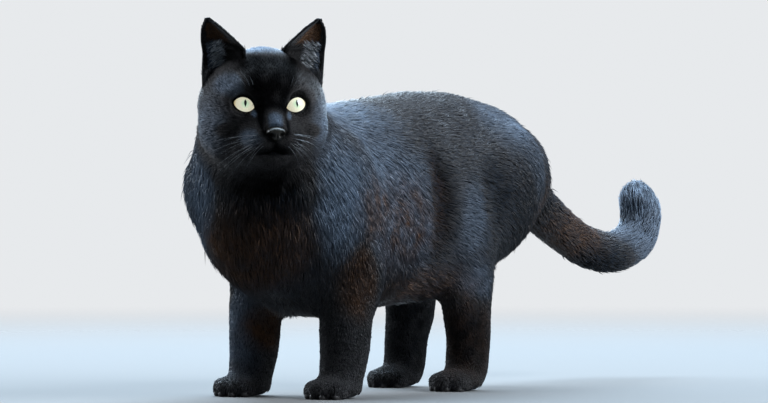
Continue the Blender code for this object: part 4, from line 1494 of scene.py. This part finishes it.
BROWS = np.array([  # x and z of the root, the way sideways, and the length
    (0.0135, 0.0155, 0.1, 0.016), (0.0155, 0.0165, 0.35, 0.020),
    (0.0175, 0.0165, 0.6, 0.018), (0.0195, 0.0155, 0.9, 0.013)])
rng = np.random.default_rng(71)
rows, columns = (grid.ravel() for grid in np.meshgrid(np.arange(4), np.arange(4), indexing="ij"))
for word, side in SIDES.items():
    x = 0.0075 + 0.0026 * columns + rng.uniform(-0.0003, 0.0003, 16)
    z = -0.0165 - 0.0026 * rows - 0.0004 * columns
    ways = np.stack([0.75 + 0.08 * columns, 0.35 - 0.24 * columns, 0.02 - 0.13 * rows], axis=1)
    ways = unit(ways * [side, 1, 1] + rng.normal(0, 0.05, (16, 3)))
    length = 0.023 + 0.0035 * columns + rng.uniform(-0.003, 0.003, 16)
    drop = np.stack([np.full(16, side * -0.004), -0.012 - 0.3 * length, -0.006 - 0.0020 * rows], axis=1)
    x, z = np.r_[x, BROWS[:, 0]], np.r_[z, BROWS[:, 1]]
    brow_ways = np.stack([side * BROWS[:, 2], np.full(4, 0.5), np.full(4, 0.9)], axis=1)
    ways = np.vstack([ways, unit(brow_ways)])
    drop = np.vstack([drop, np.tile([side * 0.002, -0.010, -0.003], (4, 1))])
    length = np.r_[length, BROWS[:, 3]]
    roots = np.stack([side * x, front_of_skin(side * x, z) - 0.0006, z], axis=1)
    rings = whisker_points(roots, ways, drop, length, 0.00011)
    whisker_object(f"whiskers_{word}", from_head(rings), WHISKER)
print("whiskers made")

# %% [markdown]
# ## Pads of the feet
# A cat stands on bare leather pads: one large pad behind and four toe pads in front of it.
# Each is a low dome, cut flat where it meets the floor. They carry the cat.

# %% Pads
PAD_SKIN = leather_material("paw pad", (0.014, 0.012, 0.012), scale=1800.0, rough=0.5)


def pad(middle, half):
    """A ball with half sizes, its lower half squashed flat to the floor by a soft limit."""
    a, b = polar_grid(np.linspace(0.02, math.pi - 0.02, 16), 24)
    ball = np.stack([np.sin(a) * np.cos(b), np.sin(a) * np.sin(b), np.cos(a)], axis=-1)
    place = np.asarray(middle) + ball * half
    place[..., 2] = np.maximum(place[..., 2], 0.0)
    return place


for word in ("front_paw_left", "front_paw_right", "hind_paw_left", "hind_paw_right"):
    low, high = (np.array(c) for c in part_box(word))
    x, wide = (low[0] + high[0]) / 2, (high[0] - low[0]) / 2
    toe = low[1]
    pieces = [pad((x, toe + 0.026, 0.0026), (0.52 * wide, 0.0085, 0.0040))]
    for share, back in ((-0.68, 0.0120), (-0.24, 0.0070), (0.24, 0.0070), (0.68, 0.0120)):
        pieces.append(pad((x + share * wide, toe + back, 0.0022), (0.17 * wide, 0.0048, 0.0034)))
    meshes = [closed_grid(f"pad_{word}_{k}", grid).data for k, grid in enumerate(pieces)]
    dressed(joined(f"pads_{word}", meshes), PAD_SKIN, "nose_leather")
print("pads of four feet made")

# %% [markdown]
# ## Studio and camera
# A pale floor fades out into a pale background, so no edge shows. A large soft bluish light
# hangs overhead and slightly behind, as the sky does, and one at each side opens the flanks.

# %% Studio
world = bpy.data.worlds.new("studio")
world.use_nodes = True
bpy.context.scene.world = world
tree = world.node_tree
tree.nodes.clear()
seen = node(tree, "Background", Color=(0.80, 0.82, 0.84, 1), Strength=1.0).outputs[0]
room = node(tree, "Background", Color=(0.62, 0.80, 1.0, 1), Strength=0.10).outputs[0]
from_camera = node(tree, "LightPath").outputs["Is Camera Ray"]
node(tree, "OutputWorld", Surface=node(tree, "MixShader", _0=from_camera, _1=room, _2=seen).outputs[0])

RINGS, SPOKES = 30, 96
radii, angle = polar_grid(np.linspace(0.02, 3.2, RINGS), SPOKES)
rings = np.stack([radii * np.cos(angle), radii * np.sin(angle), 0 * angle], axis=-1)
k = np.arange(SPOKES)
fan = np.stack([np.full(SPOKES, RINGS * SPOKES), (k + 1) % SPOKES, k], axis=1)
floor = mesh_object("studio_floor", np.vstack([rings.reshape(-1, 3), [[0, 0, 0]]]),
                    np.vstack([grid_triangles(RINGS, SPOKES), fan]))
FLOOR, tree, shader = material_with_shader("studio floor", Roughness=0.9, Specular_IOR_Level=0.1,
                                           Base_Color=(0.125, 0.125, 0.125, 1))
far = node(tree, "VectorMath", "LENGTH", _0=object_place(tree)).outputs["Value"]
fade = node(tree, "MapRange", Value=far, From_Min=0.7, From_Max=2.8)
fade.interpolation_type = "SMOOTHSTEP"
clear = node(tree, "BsdfTransparent").outputs[0]
blend = node(tree, "MixShader", _0=fade.outputs["Result"], _1=shader.outputs[0], _2=clear)
tree.links.new(blend.outputs[0], tree.nodes["Material Output"].inputs["Surface"])
floor.data.materials.append(FLOOR)


def soft_light(name, place, aim, size, power, colour):
    """A square area light at place, turned to look at aim."""
    data = bpy.data.lights.new(name, "AREA")
    data.shape, data.size, data.energy, data.color = "SQUARE", size, power, colour
    obj = new_object(name, data)
    obj.location = place
    way = np.array(aim) - np.array(place)
    obj.rotation_euler = (math.acos(-way[2] / np.linalg.norm(way)), 0,
                          math.atan2(way[1], way[0]) - math.pi / 2)


soft_light("overhead", (-0.8, 1.2, 2.1), (0, 0, 0.15), 2.4, 380, (0.66, 0.84, 1.0))
soft_light("left_side", (2.3, 0.6, 1.5), (0, 0, 0.12), 1.8, 190, (0.84, 0.92, 1.0))
soft_light("right_side", (-2.1, -0.7, 1.3), (0, 0, 0.15), 1.6, 110, (0.84, 0.92, 1.0))

BEARING, DISTANCE = math.radians(35), 3.40
LOOK_AT = np.array([-0.0171, -0.0556, 0.146])
camera_data = bpy.data.cameras.new("camera")
camera_data.sensor_width, camera_data.lens = 36.0, 205.5
camera_data.clip_start = 0.1
camera = new_object("camera", camera_data)
camera.location = LOOK_AT + DISTANCE * np.array([math.sin(BEARING), -math.cos(BEARING), 0.0])
camera.rotation_euler = (math.pi / 2, 0, BEARING)
bpy.context.scene.camera = camera
bpy.context.scene.view_settings.view_transform = "Standard"
